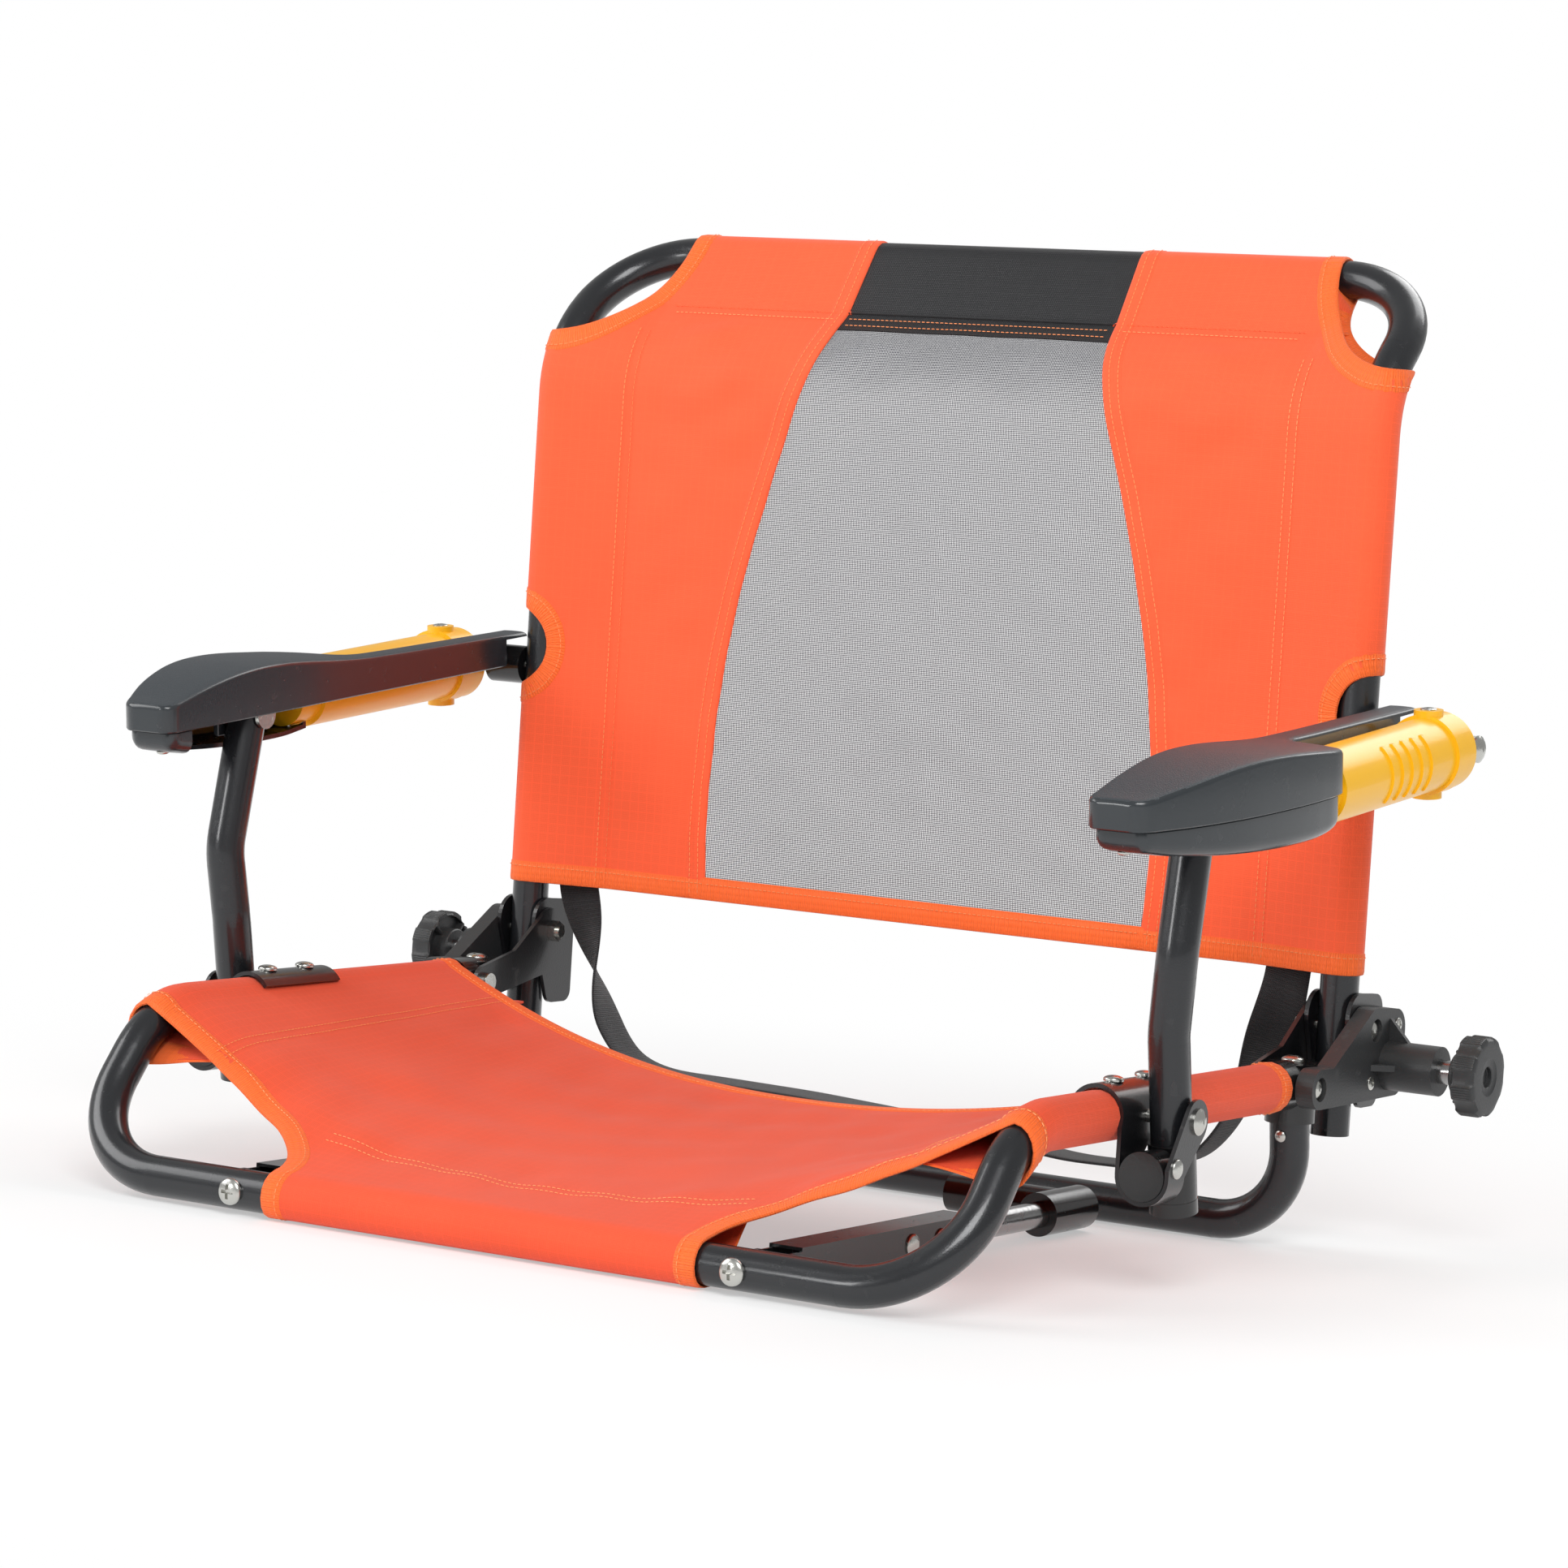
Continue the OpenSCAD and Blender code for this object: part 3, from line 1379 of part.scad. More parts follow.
hook_rod_front = hinge_y + 78;
grip_rear = rear_y - 34;
grip_length = 42;
foot_length = 58;
module hook_rod() {
    pipe([[hook_x, hook_rod_front, hook_z], [hook_x, grip_rear - 12, hook_z],
          [hook_x - foot_length, grip_rear - 12, hook_z]], [0, hook_rod_d * 0.8, 0], hook_rod_d, 1.5);
}
module hook_rod_right() {
    color([0.30, 0.31, 0.33]) hook_rod();
}
module hook_rod_left() {
    color([0.30, 0.31, 0.33]) left() hook_rod();
}

module hook_grip() {
    difference() {
        union() {
            xrod_y(grip_rear - grip_length, grip_rear, hook_x, hook_z, hook_grip_d);
            xrod(hook_x - foot_length - 6, hook_x, grip_rear - 12, hook_z, hook_grip_d - 3);
        }
        bar([[hook_x, grip_rear - grip_length - 1, hook_z], [hook_x, grip_rear - 12, hook_z],
             [hook_x - foot_length - 0.1, grip_rear - 12, hook_z]],
            [0, hook_rod_d * 0.8, 0], hook_rod_d + 0.2);
    }
}
module hook_grip_right() {
    color([0.10, 0.10, 0.11]) hook_grip();
}
module hook_grip_left() {
    color([0.10, 0.10, 0.11]) left() hook_grip();
}

seat_frame();
floor_leg();
rail_connectors();
connector_screws();
leg_screws();
seat_sling();
seat_sleeves();
strap_brackets();
bracket_rivets();
stop_inserts();
insert_rivets();
post_pivot_bolts();
rocker_bolts();
hook_bolts();
hook_brackets();
hook_pins();
hook_channels();
hook_rivets();
inner_link_plates();
lock_housing_left();
lock_housing_right();
link_bolts();
housing_screws();
plunger_springs();
index_saddles();
back_frame();
tail_caps();
back_panels();
back_mesh();
arm_pivot_bolts();
arm_knuckles();
arm_washers();
carry_strap();
post_left();
post_right();
post_shoes();
arm_bolts();
arm_bushes();
arm_shell_left();
arm_shell_right();
arm_cover_left();
arm_cover_right();
arm_screws();
spring_housing_left();
spring_housing_right();
ring_screws();
rock_springs();
guide_rings();
piston_rods();
plunger_left();
plunger_right();
knob_left();
knob_right();
hook_slider_left();
hook_slider_right();
hook_rod_left();
hook_rod_right();
hook_grip_left();
hook_grip_right();
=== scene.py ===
"""Looks of the rocking bleacher seat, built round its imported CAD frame.

Lengths are millimetres until they are placed.
"""

import logging
import math
from dataclasses import dataclass
from enum import Enum
from typing import Callable, Iterable, Sequence

import bpy
import numpy as np
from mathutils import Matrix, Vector


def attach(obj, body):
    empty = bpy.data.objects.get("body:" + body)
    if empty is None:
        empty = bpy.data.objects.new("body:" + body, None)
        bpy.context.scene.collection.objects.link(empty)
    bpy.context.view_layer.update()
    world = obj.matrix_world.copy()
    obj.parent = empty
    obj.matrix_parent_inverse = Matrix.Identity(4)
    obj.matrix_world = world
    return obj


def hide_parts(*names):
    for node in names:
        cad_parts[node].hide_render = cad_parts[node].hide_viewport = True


logging.basicConfig(level=logging.INFO, format="%(message)s")
log = logging.getLogger("seat")

MM = 0.001
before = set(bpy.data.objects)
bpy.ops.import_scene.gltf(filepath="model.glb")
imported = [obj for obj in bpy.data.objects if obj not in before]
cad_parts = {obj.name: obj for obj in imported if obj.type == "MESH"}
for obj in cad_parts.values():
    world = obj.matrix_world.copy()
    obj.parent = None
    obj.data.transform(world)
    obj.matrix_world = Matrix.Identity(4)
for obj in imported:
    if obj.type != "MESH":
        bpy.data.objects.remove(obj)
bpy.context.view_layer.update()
Array = np.ndarray
Tree = bpy.types.NodeTree
Node = bpy.types.Node
Socket = bpy.types.NodeSocket
Piece = bpy.types.Object
Triple = tuple[float, float, float]
Run = tuple[Array, Array]


class Kind(Enum):
    """The ways in which a surface is finished."""

    PAINT = "paint"
    PLASTIC = "plastic"
    STEEL = "steel"
    CLOTH = "cloth"
    NET = "net"
    TAPE = "tape"


def link_chain(tree: Tree, source: Socket, node: Node, socket: str | int = 0) -> Node:
    """Links a socket into a node.

    Args:
        tree: the tree that holds both.
        source: the output socket.
        node: the node that takes it.
        socket: the input's name or number.

    Returns:
        The node.
    """
    tree.links.new(source, node.inputs[socket])
    return node


def math_node(tree: Tree, operation: str, *values: object) -> Socket:
    """Adds a Math node.

    Args:
        tree: the tree that gets it.
        operation: the name of the sum.
        values: numbers or sockets for its inputs.

    Returns:
        Its output.
    """
    node = tree.nodes.new("ShaderNodeMath")
    node.operation = operation
    for i, value in enumerate(values):
        if isinstance(value, Socket):
            tree.links.new(value, node.inputs[i])
        else:
            node.inputs[i].default_value = value
    return node.outputs[0]


def times(tree: Tree, a: object, b: object) -> Socket:
    """Multiplies two numbers or sockets."""
    return math_node(tree, "MULTIPLY", a, b)


def plus(tree: Tree, a: object, b: object) -> Socket:
    """Adds two numbers or sockets."""
    return math_node(tree, "ADD", a, b)


def noise_node(tree: Tree, vector: Socket, scale: object, detail: float = 3) -> Socket:
    """Adds a Noise texture.

    Args:
        tree: the tree that gets it.
        vector: the coordinates it reads.
        scale: a number, or the socket that gives it.
        detail: its octaves.

    Returns:
        Its value.
    """
    node = link_chain(tree, vector, tree.nodes.new("ShaderNodeTexNoise"), "Vector")
    node.inputs["Detail"].default_value = detail
    if isinstance(scale, Socket):
        tree.links.new(scale, node.inputs["Scale"])
    else:
        node.inputs["Scale"].default_value = scale
    return node.outputs["Fac"]


def mix_colour(tree: Tree, mask: object, a: object, b: object) -> Socket:
    """Mixes two colours.

    Args:
        tree: the tree that gets the node.
        mask: the share of the second, a number or a socket.
        a: the first colour.
        b: the second colour.

    Returns:
        The mixed colour.
    """
    node = tree.nodes.new("ShaderNodeMix")
    node.data_type = "RGBA"
    for socket, value in ((node.inputs[0], mask), (node.inputs[6], a), (node.inputs[7], b)):
        if isinstance(value, Socket):
            tree.links.new(value, socket)
        else:
            socket.default_value = value
    return node.outputs[2]


def new_group(
    name: str, inputs: dict[str, float | tuple], outputs: dict[str, str]
) -> tuple[Tree, Node, Node]:
    """Makes an empty shader group.

    Args:
        name: its name.
        inputs: each input's name and first value, a number or a colour.
        outputs: each output's name and whether it is a Float or a Color.

    Returns:
        The tree, its input node and its output node.
    """
    tree = bpy.data.node_groups.new(name, "ShaderNodeTree")
    for label, value in inputs.items():
        kind = "NodeSocketColor" if isinstance(value, tuple) else "NodeSocketFloat"
        tree.interface.new_socket(name=label, in_out="INPUT", socket_type=kind).default_value = value
    for label, kind in outputs.items():
        tree.interface.new_socket(name=label, in_out="OUTPUT", socket_type=f"NodeSocket{kind}")
    return tree, tree.nodes.new("NodeGroupInput"), tree.nodes.new("NodeGroupOutput")


def grain_group() -> Tree:
    """Moulded grain or powder coat: fine bumps, slow change of shade, thin scuffs and a little dust.

    Returns:
        The group.
    """
    slow_scale, scratch_scale, scratched_above = 14.0, 160.0, 0.66
    dust_colour = (0.5, 0.48, 0.45, 1)
    tree, given, out = new_group(
        "surface grain",
        {"Colour": (0.1, 0.1, 0.1, 1), "Roughness": 0.4, "Scale": 900.0,
         "Change": 0.1, "Scuff": 0.1, "Dust": 0.05},
        {"Colour": "Color", "Roughness": "Float", "Height": "Float"},
    )
    place = tree.nodes.new("ShaderNodeTexCoord").outputs["Object"]
    fine = noise_node(tree, place, given.outputs["Scale"], 2)
    slow = noise_node(tree, place, slow_scale)
    scratch = noise_node(tree, place, scratch_scale, 6)
    scuff = times(tree, math_node(tree, "GREATER_THAN", scratch, scratched_above), given.outputs["Scuff"])
    shade = times(tree, math_node(tree, "SUBTRACT", slow, 0.5), given.outputs["Change"])
    normal = tree.nodes.new("ShaderNodeNewGeometry").outputs["Normal"]
    facing = link_chain(tree, normal, tree.nodes.new("ShaderNodeSeparateXYZ"))
    up = math_node(tree, "MAXIMUM", facing.outputs[2], 0.0)
    dust = times(tree, times(tree, up, slow), given.outputs["Dust"])
    light = plus(tree, times(tree, scuff, 0.3), dust)
    bright = tree.nodes.new("ShaderNodeHueSaturation")
    tree.links.new(given.outputs["Colour"], bright.inputs["Color"])
    tree.links.new(plus(tree, shade, 1.0), bright.inputs["Value"])
    tree.links.new(mix_colour(tree, light, bright.outputs[0], dust_colour), out.inputs["Colour"])
    worn = plus(tree, times(tree, shade, 0.6), scuff)
    tree.links.new(plus(tree, given.outputs["Roughness"], worn), out.inputs["Roughness"])
    tree.links.new(plus(tree, fine, times(tree, scratch, 0.15)), out.inputs["Height"])
    return tree


def weave_group() -> Tree:
    """Plain weave on the piece's own UV map, which is the flat cut in metres, with a faint coarser grid.

    Returns:
        The group.
    """
    grid_above, rib_pitch, slow_scale, fleck_scale, hole_below = 0.87, 0.0011, 22.0, 1500.0, 0.27
    tree, given, out = new_group(
        "weave",
        {"Colour": (1.0, 0.1, 0.02, 1), "Pitch": 0.0007, "Grid": 0.0052, "Change": 0.1, "Ribs": 0.0},
        {"Colour": "Color", "Height": "Float", "Holes": "Float"},
    )
    uv = tree.nodes.new("ShaderNodeUVMap")
    split = link_chain(tree, uv.outputs[0], tree.nodes.new("ShaderNodeSeparateXYZ"))
    waves, lines = [], []
    for axis in (0, 1):
        turn = math_node(tree, "DIVIDE", split.outputs[axis], given.outputs["Pitch"])
        waves.append(math_node(tree, "SINE", times(tree, turn, math.pi)))
        cell = math_node(tree, "FRACT", math_node(tree, "DIVIDE", split.outputs[axis], given.outputs["Grid"]))
        lines.append(math_node(tree, "GREATER_THAN", cell, grid_above))
    yarn = math_node(tree, "ABSOLUTE", times(tree, *waves))
    grid = math_node(tree, "MAXIMUM", *lines)
    rib = times(tree, math_node(tree, "DIVIDE", split.outputs[1], rib_pitch), math.tau)
    rib = math_node(tree, "SINE", rib)
    rib = times(tree, plus(tree, times(tree, rib, 0.5), 0.5), given.outputs["Ribs"])
    slow = noise_node(tree, tree.nodes.new("ShaderNodeTexCoord").outputs["Object"], slow_scale, 4)
    fleck = noise_node(tree, uv.outputs[0], fleck_scale, 2)
    value = times(tree, math_node(tree, "SUBTRACT", plus(tree, slow, fleck), 1.0), given.outputs["Change"])
    for part, share in ((grid, 0.05), (yarn, 0.1), (rib, 0.28)):
        value = plus(tree, value, times(tree, part, share))
    bright = tree.nodes.new("ShaderNodeHueSaturation")
    tree.links.new(given.outputs["Colour"], bright.inputs["Color"])
    tree.links.new(plus(tree, value, 0.94), bright.inputs["Value"])
    tree.links.new(bright.outputs[0], out.inputs["Colour"])
    height = plus(tree, times(tree, yarn, 0.5), times(tree, grid, 0.2))
    tree.links.new(plus(tree, height, rib), out.inputs["Height"])
    tree.links.new(math_node(tree, "LESS_THAN", yarn, hole_below), out.inputs["Holes"])
    return tree


@dataclass(frozen=True)
class Finish:
    """One finish of the seat."""

    name: str
    kind: Kind
    colour: Triple
    rough: float = 0.4
    metallic: float = 0.0
    coat: float = 0.0
    scale: float = 900.0
    depth: float = 0.02
    change: float = 0.12
    scuff: float = 0.08
    dust: float = 0.04
    pitch: float = 0.0007
    ribs: float = 0.0
    sheen: float = 0.0

    def linear(self) -> tuple[float, float, float, float]:
        """The colour, written as screen values, in linear light."""
        return (*[c / 12.92 if c <= 0.04045 else ((c + 0.055) / 1.055) ** 2.4 for c in self.colour], 1.0)

    def make(self) -> bpy.types.Material:
        """Builds the material, once.

        Returns:
            The material.
        """
        if self.name in bpy.data.materials:
            return bpy.data.materials[self.name]
        material = bpy.data.materials.new(self.name)
        material.use_nodes = True
        tree = material.node_tree
        shader = tree.nodes["Principled BSDF"]
        uniform = {"Metallic": self.metallic, "Coat Weight": self.coat, "Coat Roughness": 0.12,
                   "Sheen Weight": self.sheen, "Sheen Roughness": 0.4}
        for label, value in uniform.items():
            shader.inputs[label].default_value = value
        group = tree.nodes.new("ShaderNodeGroup")
        bump = tree.nodes.new("ShaderNodeBump")
        bump.inputs["Distance"].default_value = 0.001
        bump.inputs["Strength"].default_value = min(1.0, self.depth * 10)
        woven = self.kind in (Kind.CLOTH, Kind.NET, Kind.TAPE)
        group.node_tree = GROUPS["weave" if woven else "grain"]
        group.inputs["Colour"].default_value = self.linear()
        group.inputs["Change"].default_value = self.change
        if woven:
            group.inputs["Pitch"].default_value = self.pitch
            group.inputs["Ribs"].default_value = self.ribs
            shader.inputs["Roughness"].default_value = self.rough
            if self.kind is Kind.NET:
                tree.links.new(group.outputs["Holes"], shader.inputs["Alpha"])
        else:
            for label in ("Scale", "Scuff", "Dust"):
                group.inputs[label].default_value = getattr(self, label.lower())
            group.inputs["Roughness"].default_value = self.rough
            tree.links.new(group.outputs["Roughness"], shader.inputs["Roughness"])
        tree.links.new(group.outputs["Colour"], shader.inputs["Base Color"])
        tree.links.new(group.outputs["Height"], bump.inputs["Height"])
        tree.links.new(bump.outputs[0], shader.inputs["Normal"])
        return material


GROUPS = {"grain": grain_group(), "weave": weave_group()}

POWDER = Finish("charcoal powder coat", Kind.PAINT, (0.13, 0.137, 0.15), 0.27, 0.35, 0.5,
                scale=1500, depth=0.012, change=0.08, scuff=0.04, dust=0.02)
BRACKET = Finish("black bracket paint", Kind.PAINT, (0.1, 0.1, 0.11), 0.3, 0.2, 0.4,
                 scale=1200, depth=0.01, change=0.08, scuff=0.1)
GLOSS = Finish("black glossy moulding", Kind.PLASTIC, (0.07, 0.07, 0.075), 0.2, coat=0.3,
               scale=500, depth=0.004, change=0.06, dust=0.02)
LOCK = Finish("dark grey moulding", Kind.PLASTIC, (0.17, 0.175, 0.18), 0.42,
              scale=1100, depth=0.012, change=0.08)
ARM_TOP = Finish("grained arm top", Kind.PLASTIC, (0.19, 0.215, 0.235), 0.5,
                 scale=1400, depth=0.035, change=0.06, scuff=0.05, dust=0.02)
ARM_SIDE = Finish("smooth arm side", Kind.PLASTIC, (0.16, 0.18, 0.195), 0.24, coat=0.25,
                  scale=500, depth=0.004, change=0.06, scuff=0.05, dust=0.02)
YELLOW = Finish("warm yellow moulding", Kind.PLASTIC, (0.975, 0.735, 0.08), 0.34, coat=0.15,
                scale=700, depth=0.006, change=0.05, scuff=0.04, dust=0.02)
PALE = Finish("pale bush moulding", Kind.PLASTIC, (0.78, 0.77, 0.72), scale=700, depth=0.01)
ZINC = Finish("bright zinc", Kind.STEEL, (0.78, 0.78, 0.76), 0.26, 1.0,
              scale=700, depth=0.01, scuff=0.12, dust=0.03)
STEEL = Finish("drawn steel rod", Kind.STEEL, (0.62, 0.62, 0.62), 0.22, 1.0,
               scale=300, depth=0.008, change=0.1, scuff=0.1, dust=0.03)
BACK_CLOTH = Finish("orange back cloth", Kind.CLOTH, (0.985, 0.37, 0.19), 0.72,
                    depth=0.03, change=0.1, sheen=0.15)
SEAT_CLOTH = Finish("orange seat cloth", Kind.CLOTH, (0.93, 0.32, 0.16), 0.74,
                    depth=0.03, change=0.11, sheen=0.15)
BINDING = Finish("orange ribbed binding", Kind.TAPE, (0.97, 0.41, 0.12), 0.6,
                 depth=0.05, change=0.1, ribs=0.6, sheen=0.1)
NET = Finish("dark net", Kind.NET, (0.3, 0.3, 0.33), 0.7, depth=0.03, pitch=0.00095)
SLEEVE = Finish("black sleeve cloth", Kind.CLOTH, (0.1, 0.1, 0.11), 0.38,
                depth=0.03, change=0.3, pitch=0.0011, sheen=0.1)
WEBBING = Finish("black webbing", Kind.TAPE, (0.11, 0.11, 0.12), 0.7,
                 depth=0.06, change=0.2, ribs=0.8, sheen=0.2)
THREAD = Finish("light orange thread", Kind.TAPE, (1.0, 0.6, 0.36), 0.55, depth=0.03, change=0.15)

NODE_FINISH: dict[Finish, tuple[str, ...]] = {
    POWDER: ("seat_frame", "floor_leg", "back_frame", "post_left", "post_right"),
    BRACKET: ("strap_brackets", "inner_link_plates", "index_saddles", "hook_brackets"),
    GLOSS: ("rail_connectors", "tail_caps", "post_shoes", "hook_channels", "stop_inserts", "arm_knuckles",
            "hook_grip_left", "hook_grip_right", "hook_slider_left", "hook_slider_right", "guide_rings"),
    LOCK: ("lock_housing_left", "lock_housing_right", "knob_left", "knob_right"),
    ARM_SIDE: ("arm_shell_left", "arm_shell_right", "arm_cover_left", "arm_cover_right"),
    YELLOW: ("spring_housing_left", "spring_housing_right"),
    PALE: ("arm_washers",),
    STEEL: ("piston_rods", "rock_springs", "plunger_springs", "plunger_left", "plunger_right", "hook_pins",
            "hook_rod_left", "hook_rod_right"),
    ZINC: ("connector_screws", "leg_screws", "bracket_rivets", "insert_rivets", "post_pivot_bolts",
           "rocker_bolts", "hook_bolts", "hook_rivets", "link_bolts", "housing_screws", "arm_pivot_bolts",
           "arm_bolts", "arm_screws", "ring_screws", "arm_bushes"),
}


def smooth_span(x: Array | float, low: float, high: float) -> Array:
    """A smooth step from 0 at low to 1 at high."""
    t = np.clip((np.asarray(x, float) - low) / (high - low), 0, 1)
    return t * t * (3 - 2 * t)


def deselect() -> None:
    """Leaves nothing selected."""
    for thing in bpy.context.selected_objects:
        thing.select_set(False)


def make_active(piece: Piece) -> None:
    """Selects one piece alone and makes it the active one."""
    deselect()
    piece.select_set(True)
    bpy.context.view_layer.objects.active = piece


def in_edit(piece: Piece, *steps: Callable[[], object]) -> None:
    """Runs steps in edit mode with all of a piece selected.

    Args:
        piece: the piece.
        steps: what is done to it, in order.
    """
    make_active(piece)
    bpy.ops.object.mode_set(mode="EDIT")
    bpy.ops.mesh.select_all(action="SELECT")
    for step in steps:
        step()
    bpy.ops.object.mode_set(mode="OBJECT")


def apply_all(piece: Piece) -> None:
    """Applies every modifier of a piece."""
    make_active(piece)
    for modifier in list(piece.modifiers):
        bpy.ops.object.modifier_apply(modifier=modifier.name)


def settle(piece: Piece, name: str, body: str, finish: Finish, angle: float = 35) -> Piece:
    """Names, shades, dresses and hangs a finished piece.

    Args:
        piece: the piece.
        name: its name.
        body: the CAD body that it rides on.
        finish: its finish.
        angle: the angle in degrees over which an edge stays sharp.

    Returns:
        The piece.
    """
    make_active(piece)
    bpy.ops.object.transform_apply(location=True, rotation=True, scale=True)
    bpy.ops.object.shade_smooth_by_angle(angle=math.radians(angle))
    piece.name = piece.data.name = name
    piece.data.materials.clear()
    piece.data.materials.append(finish.make())
    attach(piece, body)
    log.info("%s: %d faces", name, len(piece.data.polygons))
    return piece


def mesh_piece(name: str, points: Array, faces: Sequence[Sequence[int]], uvs: Array | None = None) -> Piece:
    """Makes an object from points and faces.

    Args:
        name: its name.
        points: the corners in millimetres.
        faces: each face's corners.
        uvs: a UV place in metres for each corner.

    Returns:
        The object.
    """
    mesh = bpy.data.meshes.new(name)
    mesh.from_pydata((np.asarray(points) * MM).tolist(), [], [list(map(int, f)) for f in faces])
    if uvs is not None:
        layer = mesh.uv_layers.new(name="UVMap")
        corner = np.zeros(len(mesh.loops), np.int32)
        mesh.loops.foreach_get("vertex_index", corner)
        layer.data.foreach_set("uv", np.asarray(uvs, np.float32)[corner].ravel())
    mesh.validate()
    piece = bpy.data.objects.new(name, mesh)
    bpy.context.scene.collection.objects.link(piece)
    return piece


def put_points(piece: Piece, points: Array) -> None:
    """Moves a piece's corners to places in millimetres."""
    piece.data.vertices.foreach_set("co", (np.asarray(points, np.float32) * np.float32(MM)).ravel())
    piece.data.update()


def get_points(piece: Piece) -> Array:
    """Reads the places of a piece's corners.

    Args:
        piece: the piece.

    Returns:
        The places in millimetres.
    """
    flat = np.zeros(len(piece.data.vertices) * 3, np.float32)
    piece.data.vertices.foreach_get("co", flat)
    return flat.reshape(-1, 3).astype(float) / MM


def close_up(piece: Piece, reach: float = 0.005) -> None:
    """Merges a piece's doubles within a reach in millimetres and turns its faces outwards."""
    in_edit(piece, lambda: bpy.ops.mesh.remove_doubles(threshold=reach * MM),
            lambda: bpy.ops.mesh.normals_make_consistent(inside=False))


def relief_block(rows: int, columns: int, shape: Callable[[Array, Array, Array], Array]) -> Piece:
    """Draws a grid up into a block and shapes it.

    Args:
        rows: its cells along.
        columns: its cells across.
        shape: gives each corner's place from its row, its column and its level, which goes from 0 on the
            flat side to 2 on the drawn side.

    Returns:
        The block.
    """
    deselect()
    bpy.ops.mesh.primitive_grid_add(x_subdivisions=rows, y_subdivisions=columns, size=2)
    piece = bpy.context.object
    draw_up = lambda: bpy.ops.mesh.extrude_region_move(TRANSFORM_OT_translate={"value": (0, 0, 1)})
    in_edit(piece, draw_up, draw_up)
    p = get_points(piece) * MM
    row = np.rint((p[:, 0] + 1) / 2 * rows).astype(int)
    column = np.rint((p[:, 1] + 1) / 2 * columns).astype(int)
    put_points(piece, shape(row, column, np.rint(p[:, 2]).astype(int)))
    close_up(piece)
    return piece


def carve(piece: Piece, tool: Piece, operation: str = "DIFFERENCE") -> None:
    """Cuts a tool out of a piece, or joins it on, and removes the tool.

    Args:
        piece: the piece.
        tool: what is cut out or joined on.
        operation: DIFFERENCE or UNION.
    """
    modifier = piece.modifiers.new("carve", "BOOLEAN")
    modifier.operation, modifier.object, modifier.solver = operation, tool, "EXACT"
    apply_all(piece)
    bpy.data.objects.remove(tool, do_unlink=True)


def rod_tool(radius: float, low: Triple, high: Triple, corners: int = 64) -> Piece:
    """Adds a cylinder between two places.

    Args:
        radius: its radius in millimetres.
        low: the middle of one end.
        high: the middle of the other end.
        corners: the number of faces round it.

    Returns:
        The cylinder.
    """
    a, b = Vector(low) * MM, Vector(high) * MM
    turn = (b - a).to_track_quat("Z", "Y").to_euler()
    deselect()
    bpy.ops.mesh.primitive_cylinder_add(
        vertices=corners, radius=radius * MM, depth=(b - a).length, location=(a + b) / 2, rotation=turn)
    bpy.ops.object.transform_apply(location=True, rotation=True, scale=True)
    return bpy.context.object


def box_tool(low: Triple, high: Triple, soft: float = 0.0) -> Piece:
    """Adds a box between two corners.

    Args:
        low: its lowest corner in millimetres.
        high: its highest corner.
        soft: the radius of its edges.

    Returns:
        The box.
    """
    a, b = Vector(low) * MM, Vector(high) * MM
    deselect()
    bpy.ops.mesh.primitive_cube_add(size=1, location=(a + b) / 2, scale=b - a)
    bpy.ops.object.transform_apply(location=True, rotation=True, scale=True)
    piece = bpy.context.object
    if soft > 0:
        bevel = piece.modifiers.new("soft edge", "BEVEL")
        bevel.width, bevel.segments = soft * MM, 3
        apply_all(piece)
    return piece


def turned(profile: Sequence[tuple[float, float]], steps: int = 48) -> Piece:
    """Spins a profile about the Z axis.

    Args:
        profile: each corner's distance from the axis and its height, in millimetres, from axis to axis.
        steps: the number of faces round it.

    Returns:
        The closed turned piece.
    """
    mesh = bpy.data.meshes.new("turned")
    edges = [(i, i + 1) for i in range(len(profile) - 1)]
    mesh.from_pydata([(r * MM, 0.0, z * MM) for r, z in profile], edges, [])
    piece = bpy.data.objects.new("turned", mesh)
    bpy.context.scene.collection.objects.link(piece)
    in_edit(piece, lambda: bpy.ops.mesh.spin(steps=steps, angle=math.tau, center=(0, 0, 0), axis=(0, 0, 1)))
    close_up(piece)
    return piece


def twin(piece: Piece) -> Piece:
    """Copies a piece to the other side of the seat.

    Args:
        piece: the piece.

    Returns:
        Its mirrored copy, with its own mesh.
    """
    other = bpy.data.objects.new(piece.name, piece.data.copy())
    bpy.context.scene.collection.objects.link(other)
    put_points(other, get_points(other) * [-1, 1, 1])
    other.data.flip_normals()
    return other


def gather(pieces: Sequence[Piece]) -> Piece:
    """Joins pieces into one.

    Args:
        pieces: the pieces.

    Returns:
        The first, which now holds all.
    """
    deselect()
    for piece in pieces:
        piece.select_set(True)
    bpy.context.view_layer.objects.active = pieces[0]
    bpy.ops.object.join()
    return pieces[0]


def wrinkles(a: Array, b: Array, seed: int, size: float) -> Array:
    """Small soft waves of a taut cloth.

    Args:
        a: flat places across, in millimetres.
        b: flat places along, in millimetres.
        seed: which waves.
        size: about the height of the waves.

    Returns:
        The height at each place.
    """
    draw = np.random.default_rng(seed)
    total = np.zeros_like(a)
    for _ in range(9):
        turn, length, phase = draw.uniform(0, math.pi), draw.uniform(26, 90), draw.uniform(0, math.tau)
        total += np.sin((a * math.cos(turn) + b * math.sin(turn)) * math.tau / length + phase)
    return size * total / 4


def travelled(a: Array, b: Array) -> Array:
    """The distance along a flat run up to each of its places."""
    return np.append(0, np.cumsum(np.hypot(np.diff(a), np.diff(b))))


